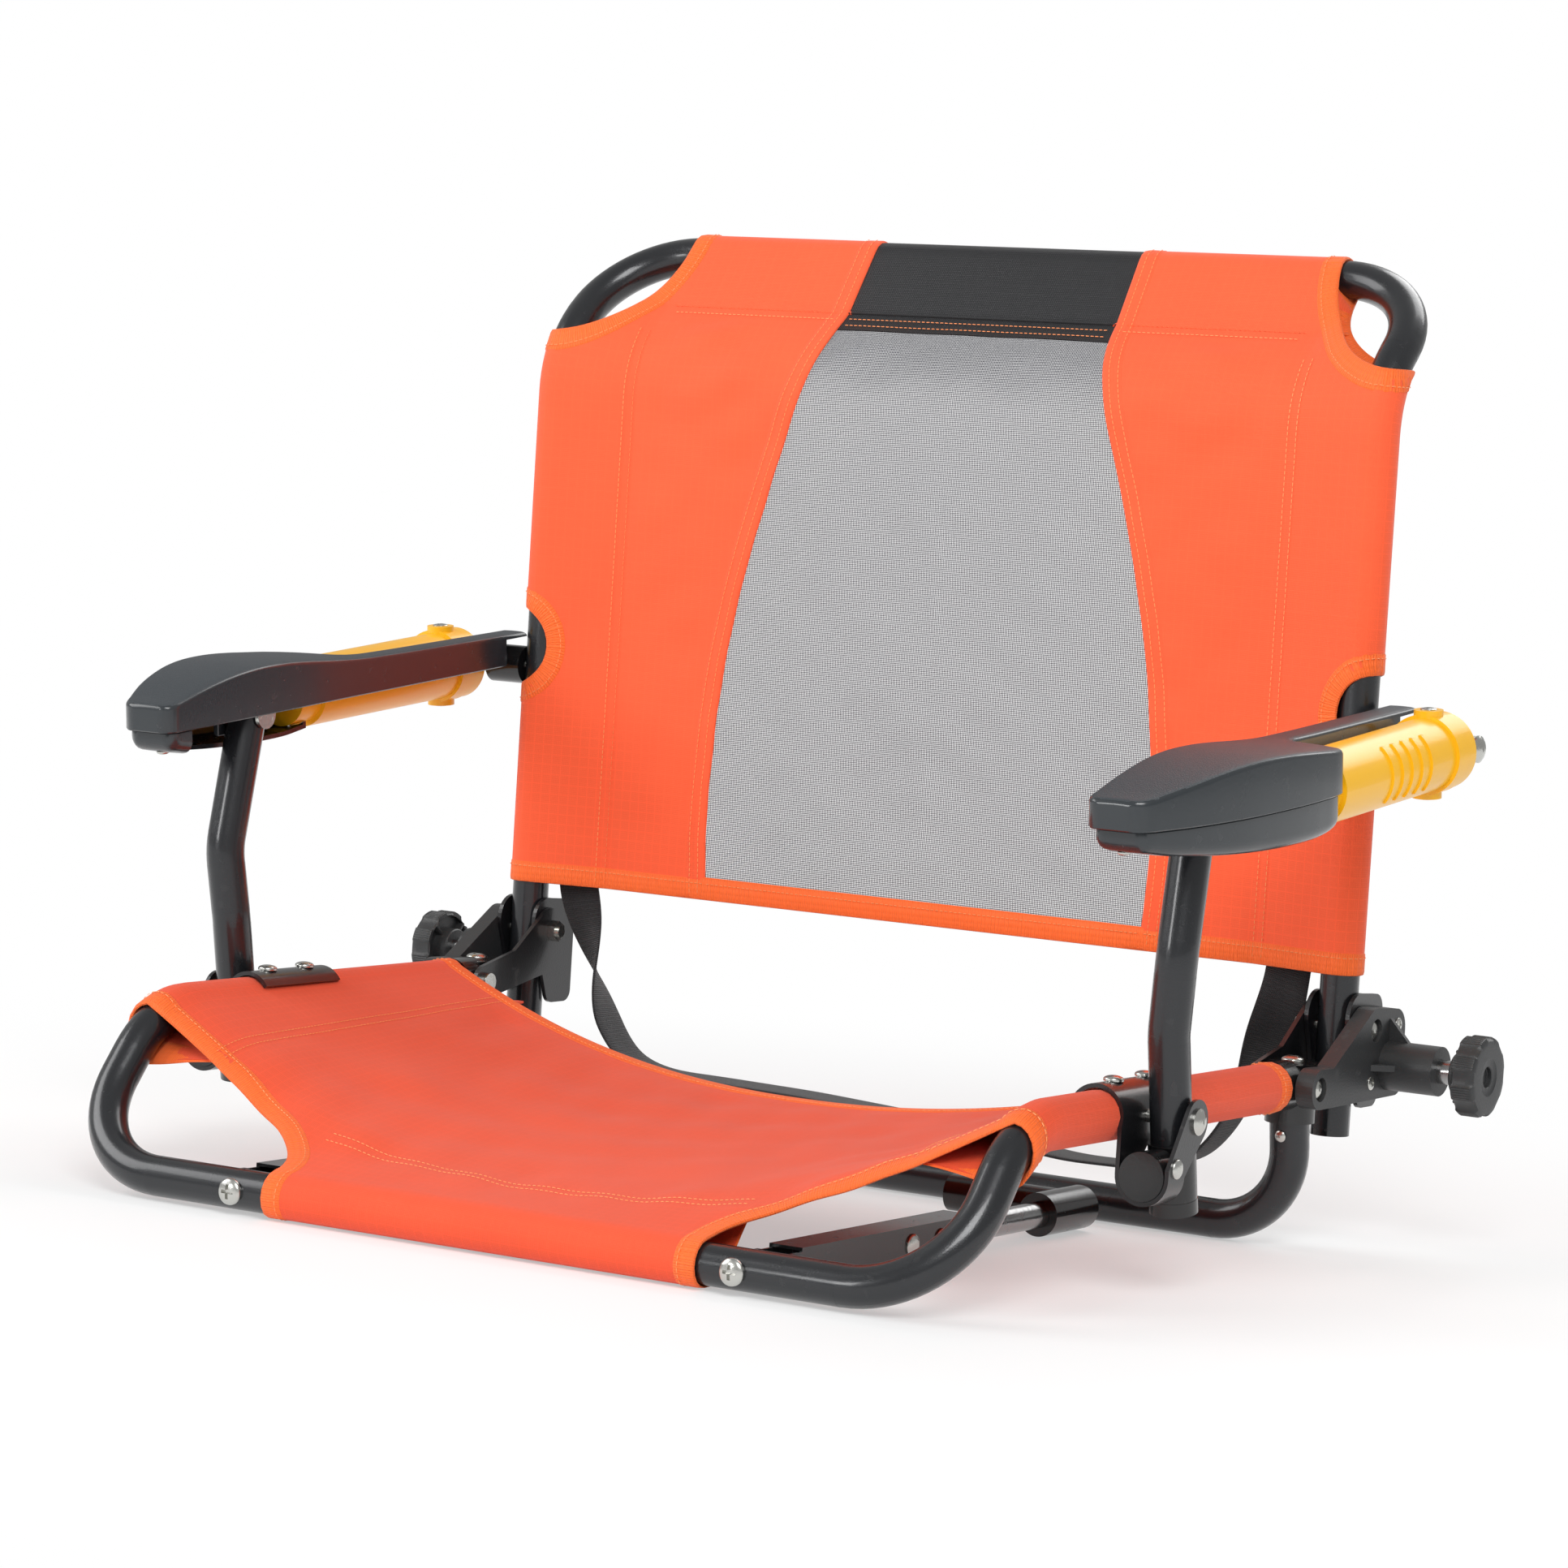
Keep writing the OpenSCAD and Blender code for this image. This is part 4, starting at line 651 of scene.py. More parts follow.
@dataclass
class Pattern:
    """A flat cut and how it lies on the frame.

    inside() is positive within the cut, and place() puts flat places in the room.
    """

    low: tuple[float, float]
    high: tuple[float, float]
    inside: Callable[[Array, Array], Array]
    place: Callable[[Array, Array, Array], Array]
    cell: float = 4.0

    def edge(self, a: Array, b: Array) -> Array:
        """The distance inside the cut, with the pattern's own rectangle as its limit."""
        sides = np.minimum.reduce([a - self.low[0], self.high[0] - a, b - self.low[1], self.high[1] - b])
        return np.minimum(sides, self.inside(a, b))

    def slope(self, a: Array, b: Array) -> tuple[Array, Array, Array]:
        """The distance inside the cut and its two slopes.

        Args:
            a: flat places across.
            b: flat places along.

        Returns:
            The distance, and how it grows across and along.
        """
        h = 0.05
        ga = (self.edge(a + h, b) - self.edge(a - h, b)) / (2 * h)
        gb = (self.edge(a, b + h) - self.edge(a, b - h)) / (2 * h)
        return self.edge(a, b), ga, gb

    def snap(self, a: Array, b: Array) -> Run:
        """Moves places onto the outline.

        Args:
            a: flat places across.
            b: flat places along.

        Returns:
            The moved places.
        """
        least_slope = 0.04
        for _ in range(5):
            s, ga, gb = self.slope(a, b)
            size = np.maximum(ga * ga + gb * gb, least_slope)
            step = np.clip(s / size, -self.cell, self.cell)
            a, b = a - ga * step, b - gb * step
        return a, b

    def grid(self) -> tuple[Array, Array, list[list[int]]]:
        """The cells of the cut, with its rim on the outline.

        Returns:
            The places across, the places along and the faces.
        """
        n = [max(2, round((self.high[i] - self.low[i]) / self.cell)) + 1 for i in (0, 1)]
        lines = [np.linspace(self.low[i], self.high[i], n[i]) for i in (0, 1)]
        a, b = np.meshgrid(*lines, indexing="ij")
        middle_a, middle_b = (a[:-1, :-1] + a[1:, 1:]) / 2, (b[:-1, :-1] + b[1:, 1:]) / 2
        kept = self.edge(middle_a, middle_b) > 0
        number = np.arange(n[0] * n[1]).reshape(n[0], n[1])
        faces = np.stack([number[:-1, :-1], number[1:, :-1], number[1:, 1:], number[:-1, 1:]], -1)[kept]
        a, b = a.ravel(), b.ravel()
        rim = sorted({i for e in rim_edges(faces) for i in e})
        a[rim], b[rim] = self.snap(a[rim], b[rim])
        used = np.unique(faces)
        renumber = np.zeros(len(a), int)
        renumber[used] = np.arange(len(used))
        return a[used], b[used], renumber[faces].tolist()

    def area(self) -> float:
        """The flat area of the cut.

        Returns:
            The area in square metres.
        """
        a, b, faces = self.grid()
        f = np.asarray(faces)
        x, y = a[f], b[f]
        return float(abs((x * np.roll(y, -1, 1) - np.roll(x, -1, 1) * y).sum(1) / 2).sum()) * 1e-6

    def sheet(self, name: str, thick: float, lift: float = 0.0) -> Piece:
        """Builds the cloth.

        Args:
            name: its name.
            thick: its thickness.
            lift: how far it lies off the pattern's middle surface.

        Returns:
            The cloth, with its flat cut as its UV map.
        """
        a, b, faces = self.grid()
        piece = mesh_piece(name, self.place(a, b, np.full(len(a), lift)), faces, np.stack([a, b], 1) * MM)
        solid = piece.modifiers.new("thickness", "SOLIDIFY")
        solid.thickness, solid.offset = thick * MM, 0.0
        apply_all(piece)
        return piece

    def rims(self, want: Callable[[Array, Array], Array]) -> list[Run]:
        """Follows the outline.

        Args:
            want: tells which places of the outline are asked for.

        Returns:
            The runs of the outline on which want holds, in order.
        """
        a, b, faces = self.grid()
        onward = {e[0]: e[1] for e in rim_edges(np.asarray(faces))}
        runs: list[Run] = []
        left = set(onward)
        while left:
            start = min(left)
            loop = [start]
            left.discard(start)
            while onward[loop[-1]] in left:
                loop.append(onward[loop[-1]])
                left.discard(loop[-1])
            ring = np.asarray(loop)
            ok = want(a[ring], b[ring])
            if ok.all():
                runs.append((np.append(a[ring], a[ring[0]]), np.append(b[ring], b[ring[0]])))
                continue
            first = int(np.argmin(ok))
            ring, ok = np.roll(ring, -first), np.roll(ok, -first)
            at = np.flatnonzero(ok)
            for group in np.split(at, np.flatnonzero(np.diff(at) > 1) + 1) if len(at) else []:
                if len(group) > 3:
                    runs.append((a[ring[group]], b[ring[group]]))
        return runs

    def inward(self, a: Array, b: Array, closed: bool) -> Run:
        """The direction into the cut along a run, smoothed so that corners are mitred.

        Args:
            a: the run's flat places across.
            b: the run's flat places along.
            closed: whether the run ends where it starts.

        Returns:
            The direction's two parts.
        """
        _, ga, gb = self.slope(a, b)
        size = np.maximum(np.hypot(ga, gb), 1e-6)
        ga, gb = ga / size, gb / size
        for _ in range(2):
            for g in (ga, gb):
                g[1:-1] = (g[:-2] + g[1:-1] * 2 + g[2:]) / 4
                if closed:
                    g[0] = g[-1] = (g[-2] + g[1] + 2 * g[0]) / 4
        size = np.maximum(np.hypot(ga, gb), 1e-6)
        return ga / size, gb / size

    def inset_rows(self, want: Callable[[Array, Array], Array], inset: float) -> list[Run]:
        """Rows that follow the outline inside it.

        Args:
            want: tells which places of the outline they follow.
            inset: how far inside they lie.

        Returns:
            The flat places of each row.
        """
        rows = []
        for a, b in self.rims(want):
            ga, gb = self.inward(a, b, False)
            rows.append((a + ga * inset, b + gb * inset))
        return rows

    def binding(
        self, name: str, want: Callable[[Array, Array], Array], wide: float = 10.0, half: float = 0.95
    ) -> Piece:
        """Folds a tape over the outline.

        Args:
            name: its name.
            want: on which parts of the outline it lies.
            wide: how far it reaches over the cloth.
            half: how far its outer face lies off the cloth's middle.

        Returns:
            The tape, whose UV map runs along it in metres.
        """
        points, faces, uvs = [], [], []
        turn = [(wide, half * 0.55), (wide - 0.7, half), (1.0, half * 1.1), (-0.5, half * 0.8), (-0.9, 0.0)]
        profile = turn + [(o, -l) for o, l in reversed(turn[:-1])]
        for a, b in self.rims(want):
            closed = bool(abs(a[0] - a[-1]) + abs(b[0] - b[-1]) < 1e-6)
            ga, gb = self.inward(a, b, closed)
            along = travelled(a, b)
            base = sum(map(len, points))
            for k, (off, lift) in enumerate(profile):
                points.append(self.place(a + ga * off, b + gb * off, np.full(len(a), lift)))
                uvs.append(np.stack([np.full(len(a), 0.002 * k), along * MM], 1))
            n, m = len(a), len(profile)
            for k in range(m - 1):
                for i in range(n - 1):
                    q = base + k * n + i
                    faces.append([q, q + 1, q + n + 1, q + n])
            for i in range(n - 1):
                last = base + (m - 1) * n + i
                faces.append([last, last + 1, base + i + 1, base + i])
            if not closed:
                faces.append([base + k * n for k in range(m)])
                faces.append([base + k * n + n - 1 for k in reversed(range(m))])
        piece = mesh_piece(name, np.concatenate(points), faces, np.concatenate(uvs))
        close_up(piece, 0.02)
        return piece

    def stitches(self, name: str, lines: Iterable[Run], lift: float, pitch: float = 2.7) -> Piece:
        """Sews rows of stitches.

        Args:
            name: the name of the thread.
            lines: the flat places of each row.
            lift: how far the thread lies off the cloth's middle.
            pitch: the length of a stitch with its gap.

        Returns:
            The thread of all rows.
        """
        found = []
        for a, b in lines:
            along = travelled(a, b)
            at = np.arange(pitch / 2, along[-1], pitch)
            (fa, fb), (ra, rb) = ([np.interp(at + step, along, v) for v in (a, b)] for step in (0.5, -0.5))
            size = np.maximum(np.hypot(fa - ra, fb - rb), 1e-6)
            middle_a, middle_b = np.interp(at, along, a), np.interp(at, along, b)
            found.append((middle_a, middle_b, (fa - ra) / size, (fb - rb) / size))
        a, b, da, db = (np.concatenate(part) for part in zip(*found))
        rings = []
        for share, half, high in ((-0.38, 0.12, 0.0), (-0.2, 0.26, 0.3), (0.2, 0.26, 0.3), (0.38, 0.12, 0.0)):
            for off, up in ((-half, 0.0), (0.0, high), (half, 0.0)):
                ra, rb = a + da * share * pitch - db * off, b + db * share * pitch + da * off
                rings.append(self.place(ra, rb, np.full(len(a), lift + up * np.sign(lift))))
        points = np.stack(rings, 1).reshape(-1, 3)
        quads = [[r * 3 + c, r * 3 + c + 1, r * 3 + c + 4, r * 3 + c + 3] for r in range(3) for c in (0, 1)]
        quads += [[r * 3 + 2, r * 3, r * 3 + 3, r * 3 + 5] for r in range(3)] + [[0, 2, 1], [9, 10, 11]]
        if lift > 0:
            quads = [q[::-1] for q in quads]
        faces = [[12 * i + c for c in q] for i in range(len(a)) for q in quads]
        uvs = np.tile(np.array([[0.0, 0.0004 * k] for k in range(12)]), (len(a), 1))
        return mesh_piece(name, points, faces, uvs)


def rim_edges(faces: Array) -> list[tuple[int, int]]:
    """The edges that only one face has, each in that face's order."""
    pairs = {(int(f[i]), int(f[(i + 1) % 4])) for f in faces for i in range(4)}
    return [e for e in pairs if (e[1], e[0]) not in pairs]


@dataclass(frozen=True)
class Wrap:
    """A cloth that leaves a flat line, runs round a tube and comes back to the same seam."""

    seam: float
    centre: float
    radius: float

    def lie(self, s: Array) -> Run:
        """Where the cloth is.

        Args:
            s: the flat distance from the middle, past the seam on the way out and back.

        Returns:
            How far across it is, and how far in front of the middle plane.
        """
        reach = self.centre - self.seam
        line = math.sqrt(reach**2 - self.radius**2)
        lean = math.acos(self.radius / reach)
        arc = math.tau - 2 * lean
        out = s - self.seam
        x = np.where(out < 0, s, 0.0)
        n = np.zeros_like(x)
        first = (out >= 0) & (out < line)
        x = np.where(first, self.seam + out * line / reach, x)
        n = np.where(first, out * self.radius / reach, n)
        turn = lean + np.clip((out - line) / self.radius, 0, arc)
        round_it = (out >= line) & (out < line + arc * self.radius)
        x = np.where(round_it, self.centre - self.radius * np.cos(turn), x)
        n = np.where(round_it, self.radius * np.sin(turn), n)
        back = out - line - arc * self.radius
        last = back >= 0
        x = np.where(last, self.seam + (line - back) * line / reach, x)
        n = np.where(last, -(line - back) * self.radius / reach, n)
        return x, n

    def facing(self, s: Array) -> Run:
        """Which way the cloth faces.

        Args:
            s: the flat distance from the middle.

        Returns:
            The outward direction across and to the front.
        """
        reach = self.centre - self.seam
        line = math.sqrt(reach**2 - self.radius**2)
        lean = math.acos(self.radius / reach)
        out = s - self.seam
        round_it = lean + np.clip((out - line) / self.radius, 0, math.tau - 2 * lean)
        turn = np.where(out < 0, math.pi / 2, round_it)
        return -np.cos(turn) * (out >= 0), np.sin(turn)

    def length(self) -> float:
        """The flat length from the seam round to the seam.

        Returns:
            The length in millimetres.
        """
        reach = self.centre - self.seam
        line = math.sqrt(reach**2 - self.radius**2)
        return 2 * line + (math.tau - 2 * math.acos(self.radius / reach)) * self.radius


def declare_sheet(piece: Piece, pattern: Pattern) -> None:
    """Logs the size of a cloth's flat cut.

    Args:
        piece: the cloth.
        pattern: its cut.
    """
    flat = [(pattern.high[i] - pattern.low[i]) * MM for i in (0, 1)]
    area = min(pattern.area(), flat[0] * flat[1])
    log.info("%s: cut %.0f x %.0f mm", piece.name, flat[0] * 1000, flat[1] * 1000)


def straight(a: tuple[float, float], b: tuple[float, float], step: float = 1.5) -> Run:
    """Flat places along a straight row."""
    n = max(4, int(math.hypot(b[0] - a[0], b[1] - a[1]) / step))
    return np.linspace(a[0], b[0], n), np.linspace(a[1], b[1], n)


# Distances between sewn rows and edges, in millimetres
TAPE_ROW = 7.6
ROW_GAP = 5.4


@dataclass
class BackCover:
    """The orange back: two side panels round the tube, the net between them and the sleeve on the top bar."""

    tube_x: float = 237.0
    seam: float = 190.0
    wrap_r: float = 10.4
    plane_y: float = 156.5
    low_z: float = 131.0
    bend_h: float = 258.0
    bend_r: float = 55.0
    bend_turn: float = 0.822
    bar_h: float = 357.1
    top_seam: float = 42.0
    thick: float = 1.1
    notch: Triple = (245.0, 478.0, 57.0)
    arm_notch: Triple = (250.0, 255.0, 21.0)
    net_h: tuple[float, ...] = (0, 45, 105, 147, 198, 258, 300, 400)
    net_w: tuple[float, ...] = (128, 131, 127, 121, 109, 91, 79, 77)

    def __post_init__(self) -> None:
        """Sets the two wraps."""
        self.side = Wrap(self.seam, self.tube_x, self.wrap_r)
        self.top = Wrap(self.bar_h - self.top_seam, self.bar_h, self.wrap_r)
        self.far = (self.seam + self.side.length(), self.bar_h - self.top_seam + self.top.length())
        self.outer = (self.seam + self.side.length() / 2, self.bar_h - self.top_seam + self.top.length() / 2)

    def net_half(self, b: Array) -> Array:
        """Half the net's width at a height, rounded over a short reach.

        Args:
            b: heights along the back.

        Returns:
            The half widths.
        """
        total = np.zeros_like(np.asarray(b, float))
        for shift in (-16, -8, 0, 8, 16):
            total += np.interp(np.asarray(b) + shift, self.net_h, self.net_w)
        return total / 5

    def spine(self, h: Array) -> tuple[Array, Array, Array]:
        """The back's middle line, which bends back below the top bar.

        Args:
            h: heights along it.

        Returns:
            Its y, its z and how far it has turned.
        """
        turn = np.clip((h - self.bend_h) / self.bend_r, 0, self.bend_turn)
        past = np.maximum(h - self.bend_h - self.bend_r * self.bend_turn, 0)
        y = self.plane_y + self.bend_r * (1 - np.cos(turn)) + past * math.sin(self.bend_turn)
        z = self.low_z + np.minimum(h, self.bend_h)
        z = z + self.bend_r * np.sin(turn) + past * math.cos(self.bend_turn)
        return y, z, turn

    def place(self, a: Array, b: Array, lift: Array) -> Array:
        """Puts flat places on the back.

        Args:
            a: places across.
            b: places along, from the lower edge.
            lift: how far they lie off the cloth's middle surface.

        Returns:
            The places in the room.
        """
        x, n1 = self.side.lie(np.abs(a))
        h, n2 = self.top.lie(b)
        ox, on = self.side.facing(np.abs(a))
        oh, om = self.top.facing(b)
        n = np.minimum(np.hypot(n1, n2), self.wrap_r) * np.where((n1 < 0) | (n2 < 0), -1, 1)
        free = 1 - smooth_span(np.abs(a), 168, 188)
        free = free * (1 - smooth_span(b, self.bar_h - 62, self.bar_h - 46)) * smooth_span(b, -1, 14)
        corner = 0.35 + smooth_span(b, 190, 300) * smooth_span(np.abs(a), 80, 150)
        n = n + wrinkles(np.abs(a) + np.sign(a) * 7, b, 5, 1.5) * free * corner
        n = n + on * om * lift
        x, h = x + ox * lift, h + oh * lift
        y, z, turn = self.spine(h)
        return np.stack([x * np.sign(a), y - n * np.cos(turn), z + n * np.sin(turn)], -1)

    def cut(self, a: Array, b: Array) -> Array:
        """The distance inside the notches at the top corners and the arms.

        Args:
            a: flat places across.
            b: flat places along.

        Returns:
            The distances.
        """
        p = self.place(a, b, np.zeros_like(a))
        x, z = np.abs(p[..., 0]), p[..., 2]
        corner = np.hypot(x - self.notch[0], z - self.notch[1]) - self.notch[2]
        arm = np.hypot(x - self.arm_notch[0], z - self.arm_notch[1]) - self.arm_notch[2]
        return np.minimum.reduce([corner, arm, np.maximum(self.outer[0] - np.abs(a), self.outer[1] - b)])

    def panel(self, side: int, word: str) -> None:
        """Builds one side panel with its tapes and thread.

        Args:
            side: 1 on the right and -1 on the left.
            word: the side's name.
        """
        ends = sorted((side * min(self.net_w), side * self.far[0]))
        pattern = Pattern((ends[0], 0.0), (ends[1], self.far[1]),
                          lambda a, b: np.minimum(self.cut(a, b), np.abs(a) - self.net_half(b)), self.place)
        panel = pattern.sheet("panel", self.thick)
        settle(panel, f"back_panel_{word}", "back", BACK_CLOTH, 60)
        declare_sheet(panel, pattern)
        if side == 1:
            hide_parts("back_panels")
        inner = lambda a, b: np.abs(a) - self.net_half(b) < 0.6
        outer = lambda a, b: (np.abs(a) < self.far[0] - 0.6) & (b < self.far[1] - 0.6) & ~inner(a, b)
        tape = pattern.binding("tape", outer)
        settle(tape, f"back_binding_{word}", "back", BINDING, 50)
        hem = pattern.binding("hem", inner, 10.0, 0.85)
        settle(hem, f"net_edge_hem_{word}", "back", BACK_CLOTH, 50)
        rows = [straight((side * s, 2), (side * s, 296)) for s in (self.seam, self.seam + ROW_GAP)]
        for drop, reach in ((self.top_seam, 184), (self.top_seam + 5.2, 180)):
            rows.append(straight((side * 84, self.bar_h - drop), (side * reach, self.bar_h - drop)))
        b = np.arange(2.0, self.bar_h + 8, 1.5)
        rows += [(side * (self.net_half(b) + off), b) for off in (3.3, 8.3)]
        settle(pattern.stitches("thread", rows, 1.0), f"back_stitches_{word}", "back", THREAD)
        sewn = pattern.inset_rows(outer, TAPE_ROW)
        settle(pattern.stitches("thread", sewn, 1.1), f"back_binding_stitches_{word}", "back", THREAD)

    def net(self) -> None:
        """Builds the net and the tape on its lower edge."""
        half, strip_half, tape_half, tape_wide = max(self.net_w) + 7, 150.0, 131.5, 16.0
        inside = lambda a, b: self.net_half(b) + 6 - np.abs(a)
        net = Pattern((-half, 3.0), (half, self.bar_h - 50), inside, self.place)
        piece = settle(net.sheet("net", 0.5, -1.0), "back_net", "back", NET, 60)
        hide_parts("back_mesh")
        declare_sheet(piece, net)
        everywhere = lambda a, b: tape_wide + 0 * a
        strip = Pattern((-strip_half, 0.0), (strip_half, tape_wide), everywhere, self.place)
        tape = strip.binding("tape", lambda a, b: (b < 0.6) & (np.abs(a) < tape_half), 11.0)
        settle(tape, "net_bottom_binding", "back", BINDING, 50)
        row = straight((-127, TAPE_ROW), (127, TAPE_ROW))
        settle(strip.stitches("thread", [row], 1.1), "net_bottom_stitches", "back", THREAD)

    def sleeve(self) -> None:
        """Builds the black sleeve on the top bar."""
        half = 84.0
        inside = lambda a, b: half - np.abs(a)
        pattern = Pattern((-half, self.bar_h - 54), (half, self.far[1]), inside, self.place)
        piece = settle(pattern.sheet("sleeve", 0.7, -0.4), "top_sleeve", "back", SLEEVE, 60)
        declare_sheet(piece, pattern)
        rows = [straight((-76, self.bar_h - drop), (76, self.bar_h - drop)) for drop in (46, 51)]
        settle(pattern.stitches("thread", rows, 0.35), "top_sleeve_stitches", "back", THREAD)

    def build(self) -> None:
        """Builds the back's cloth, tapes and thread."""
        self.panel(1, "right")
        self.panel(-1, "left")
        self.net()
        self.sleeve()


@dataclass
class SeatCover:
    """The orange sling of the seat, sewn round the side rails and the front bar."""

    rail_x: float = 237.0
    front_y: float = -211.5
    front_z: float = 10.9
    length: float = 298.4
    scoop: float = 30.0
    rear_z: float = 50.9
    low_z: float = 22.1
    power: float = 2.2
    skin_r: float = 11.2
    rail_z: float = 80.0
    arc_y: float = -132.4
    arc_r: float = 50.0
    cut_y: float = -161.5
    corner: tuple[float, float] = (120.0, 50.0)
    front_half: float = 117.0
    flap: float = 47.0
    under: float = 3.35
    front_turn: float = 3.4
    front_flap: float = 36.0
    thick: float = 1.1
    sunk: float = 1.7
    pressed_below: float = 1.5
    floor_gap: float = 0.02

    def rail_height(self, y: Array, rise: Array) -> Array:
        """The height of the side rail's line with a rise square to it.

        Args:
            y: places along the rail.
            rise: how far the line lies above the rail's middle.

        Returns:
            The heights.
        """
        d = np.maximum(self.arc_y - y, 0)
        bent = self.rail_z - self.arc_r + np.sqrt(np.maximum((self.arc_r + rise) ** 2 - d**2, 1))
        return np.where(y > self.arc_y, self.rail_z + rise, bent)

    def sheet_z(self, x: Array, y: Array) -> Array:
        """The sling's height, as the CAD solid has it.

        Args:
            x: places across.
            y: places along.

        Returns:
            The heights.
        """
        t = np.clip((self.front_y + self.length - y) / self.length, 0, 1)
        middle = self.rear_z + (self.low_z - self.rear_z) * t
        skin_rise = np.full_like(y, self.skin_r)
        top = self.rail_height(np.maximum(y, self.cut_y), skin_rise)
        at_cut = self.rail_height(np.full_like(y, self.cut_y), skin_rise)
        forward = np.clip((y - self.front_y) / (self.cut_y - self.front_y), 0, 1)
        low = self.low_z + (at_cut - self.low_z) * forward
        side = np.where(y > self.cut_y, top, low)
        near = np.maximum(self.skin_r - np.maximum(self.rail_x - np.abs(x), 0), 0)
        w = np.sqrt(np.maximum(self.skin_r**2 - (self.skin_r - near) ** 2, 0))
        skin = np.where((y >= self.cut_y) & (near > 0), self.rail_height(np.maximum(y, self.cut_y), w), -1e3)
        share = np.minimum(1, np.abs(x) / self.rail_x) ** self.power
        return np.maximum(middle + (side - middle) * share, skin)

    def on_sling(self, a: Array, b: Array, y: Array, lift: Array) -> tuple[Array, Array, Array]:
        """Puts flat places on the free sheet between the rails.

        Args:
            a: places across.
            b: places along, from the top of the front bar.
            y: how far along the seat they lie.
            lift: how far they lie off the cloth's middle surface.

        Returns:
            Their x, y and z, with x from the middle.
        """
        s, e = np.abs(a), 0.5
        x = np.minimum(s, self.rail_x)
        z = self.sheet_z(x, y)
        right = np.minimum(x + e, self.rail_x)
        px = (self.sheet_z(right, y) - self.sheet_z(x - e, y)) / np.maximum(right - x + e, 1e-6)
        py = (self.sheet_z(x, y + e) - self.sheet_z(x, y - e)) / (2 * e)
        size = np.sqrt(1 + px * px + py * py)
        free = (1 - smooth_span(s, 170, 205)) * smooth_span(b, 4, 40)
        free = free * (1 - smooth_span(b, self.length - 26, self.length - 8))
        rise = lift + wrinkles(s * np.sign(a + 1e-9), b, 11, 1.0) * free
        return x - px / size * rise, y - py / size * rise, z + rise / size

    def round_rail(self, s: Array, y: Array, radial: Array) -> Run:
        """Puts flat places round a side rail and on the flap below it.

        Args:
            s: places across, past the rail's top.
            y: how far along the seat they lie.
            radial: their distance from the rail's middle.

        Returns:
            Their x and z, with x from the middle.
        """
        flap_x = 190.0
        turn = np.clip((s - self.rail_x) / self.skin_r, 0, self.under)
        share = np.maximum(s - self.rail_x - self.under * self.skin_r, 0) / self.flap
        x = self.rail_x + radial * np.sin(turn)
        z = self.rail_height(np.maximum(y, self.cut_y - 4), radial * np.cos(turn))
        end_z = self.sheet_z(np.full_like(y, flap_x), y) - 1.5
        return x + (flap_x - x) * share, z + (end_z - z) * smooth_span(share, 0, 1) ** 0.8

    def round_front(self, s: Array, b: Array, radial: Array) -> Run:
        """Puts flat places round the front bar and on the flap behind it.

        Args:
            s: places across.
            b: places along, below 0 past the bar's top.
            radial: their distance from the bar's middle.

        Returns:
            Their y and z.
        """
        bend = np.clip(-b / self.skin_r, 0, self.front_turn)
        beyond = np.maximum(-b - self.front_turn * self.skin_r, 0)
        y = self.front_y - radial * np.sin(bend) + beyond
        z = self.front_z + radial * np.cos(bend)
        rear = self.sheet_z(np.minimum(s, 116.0), y) - 1.6
        return y, z + (rear - z) * smooth_span(beyond, 0, self.front_flap)

    def place(self, a: Array, b: Array, lift: Array) -> Array:
        """Puts flat places on the seat.

        Args:
            a: places across.
            b: places along, from the top of the front bar.
            lift: how far they lie off the cloth's middle surface.

        Returns:
            The places in the room.
        """
        s = np.abs(a)
        u = np.minimum(s / self.rail_x, 1)
        y = self.front_y + np.maximum(b, 0) * (self.length - self.scoop * (1 - u * u)) / self.length
        radial = self.skin_r + lift
        on_rail, front = s > self.rail_x, b < 0
        x, sling_y, z = self.on_sling(a, b, y, lift)
        rail_x, rail_z = self.round_rail(s, y, radial)
        x, y, z = np.where(on_rail, rail_x, x), np.where(on_rail, y, sling_y), np.where(on_rail, rail_z, z)
        front_y, front_z = self.round_front(s, b, radial)
        x = np.where(front, np.minimum(s, self.rail_x), x)
        y, z = np.where(front, front_y, y), np.where(front, front_z, z)
        return np.stack([x * np.where(a < 0, -1, 1), y, z], -1)

    def cut(self, a: Array, b: Array) -> Array:
        """The distance inside the corner cuts and the ends of the front sleeve.

        Args:
            a: flat places across.
            b: flat places along.

        Returns:
            The distances.
        """
        p = self.place(a, np.maximum(b, 0.0), np.zeros_like(a))
        x, y = np.abs(p[..., 0]), p[..., 1]
        oval = np.hypot((self.rail_x - x) / self.corner[0], (y - self.front_y) / self.corner[1])
        oval = (oval - 1) * self.corner[1]
        oval = np.where(np.abs(a) > self.rail_x, y - self.cut_y, oval)
        return np.where(b < 0, self.front_half - np.abs(a), oval)

    def press(self, piece: Piece) -> Piece:
        """Squeezes what the front bar stands on, so that it ends just above the floor.

        Args:
            piece: a cloth, tape or thread of the seat.

        Returns:
            The piece.
        """
        p = get_points(piece)
        share = (self.pressed_below - self.floor_gap) / (self.pressed_below + self.sunk)
        below = np.maximum(self.pressed_below - p[:, 2], 0)
        p[:, 2] = np.where(below > 0, self.pressed_below - below * share, p[:, 2])
        put_points(piece, p)
        return piece

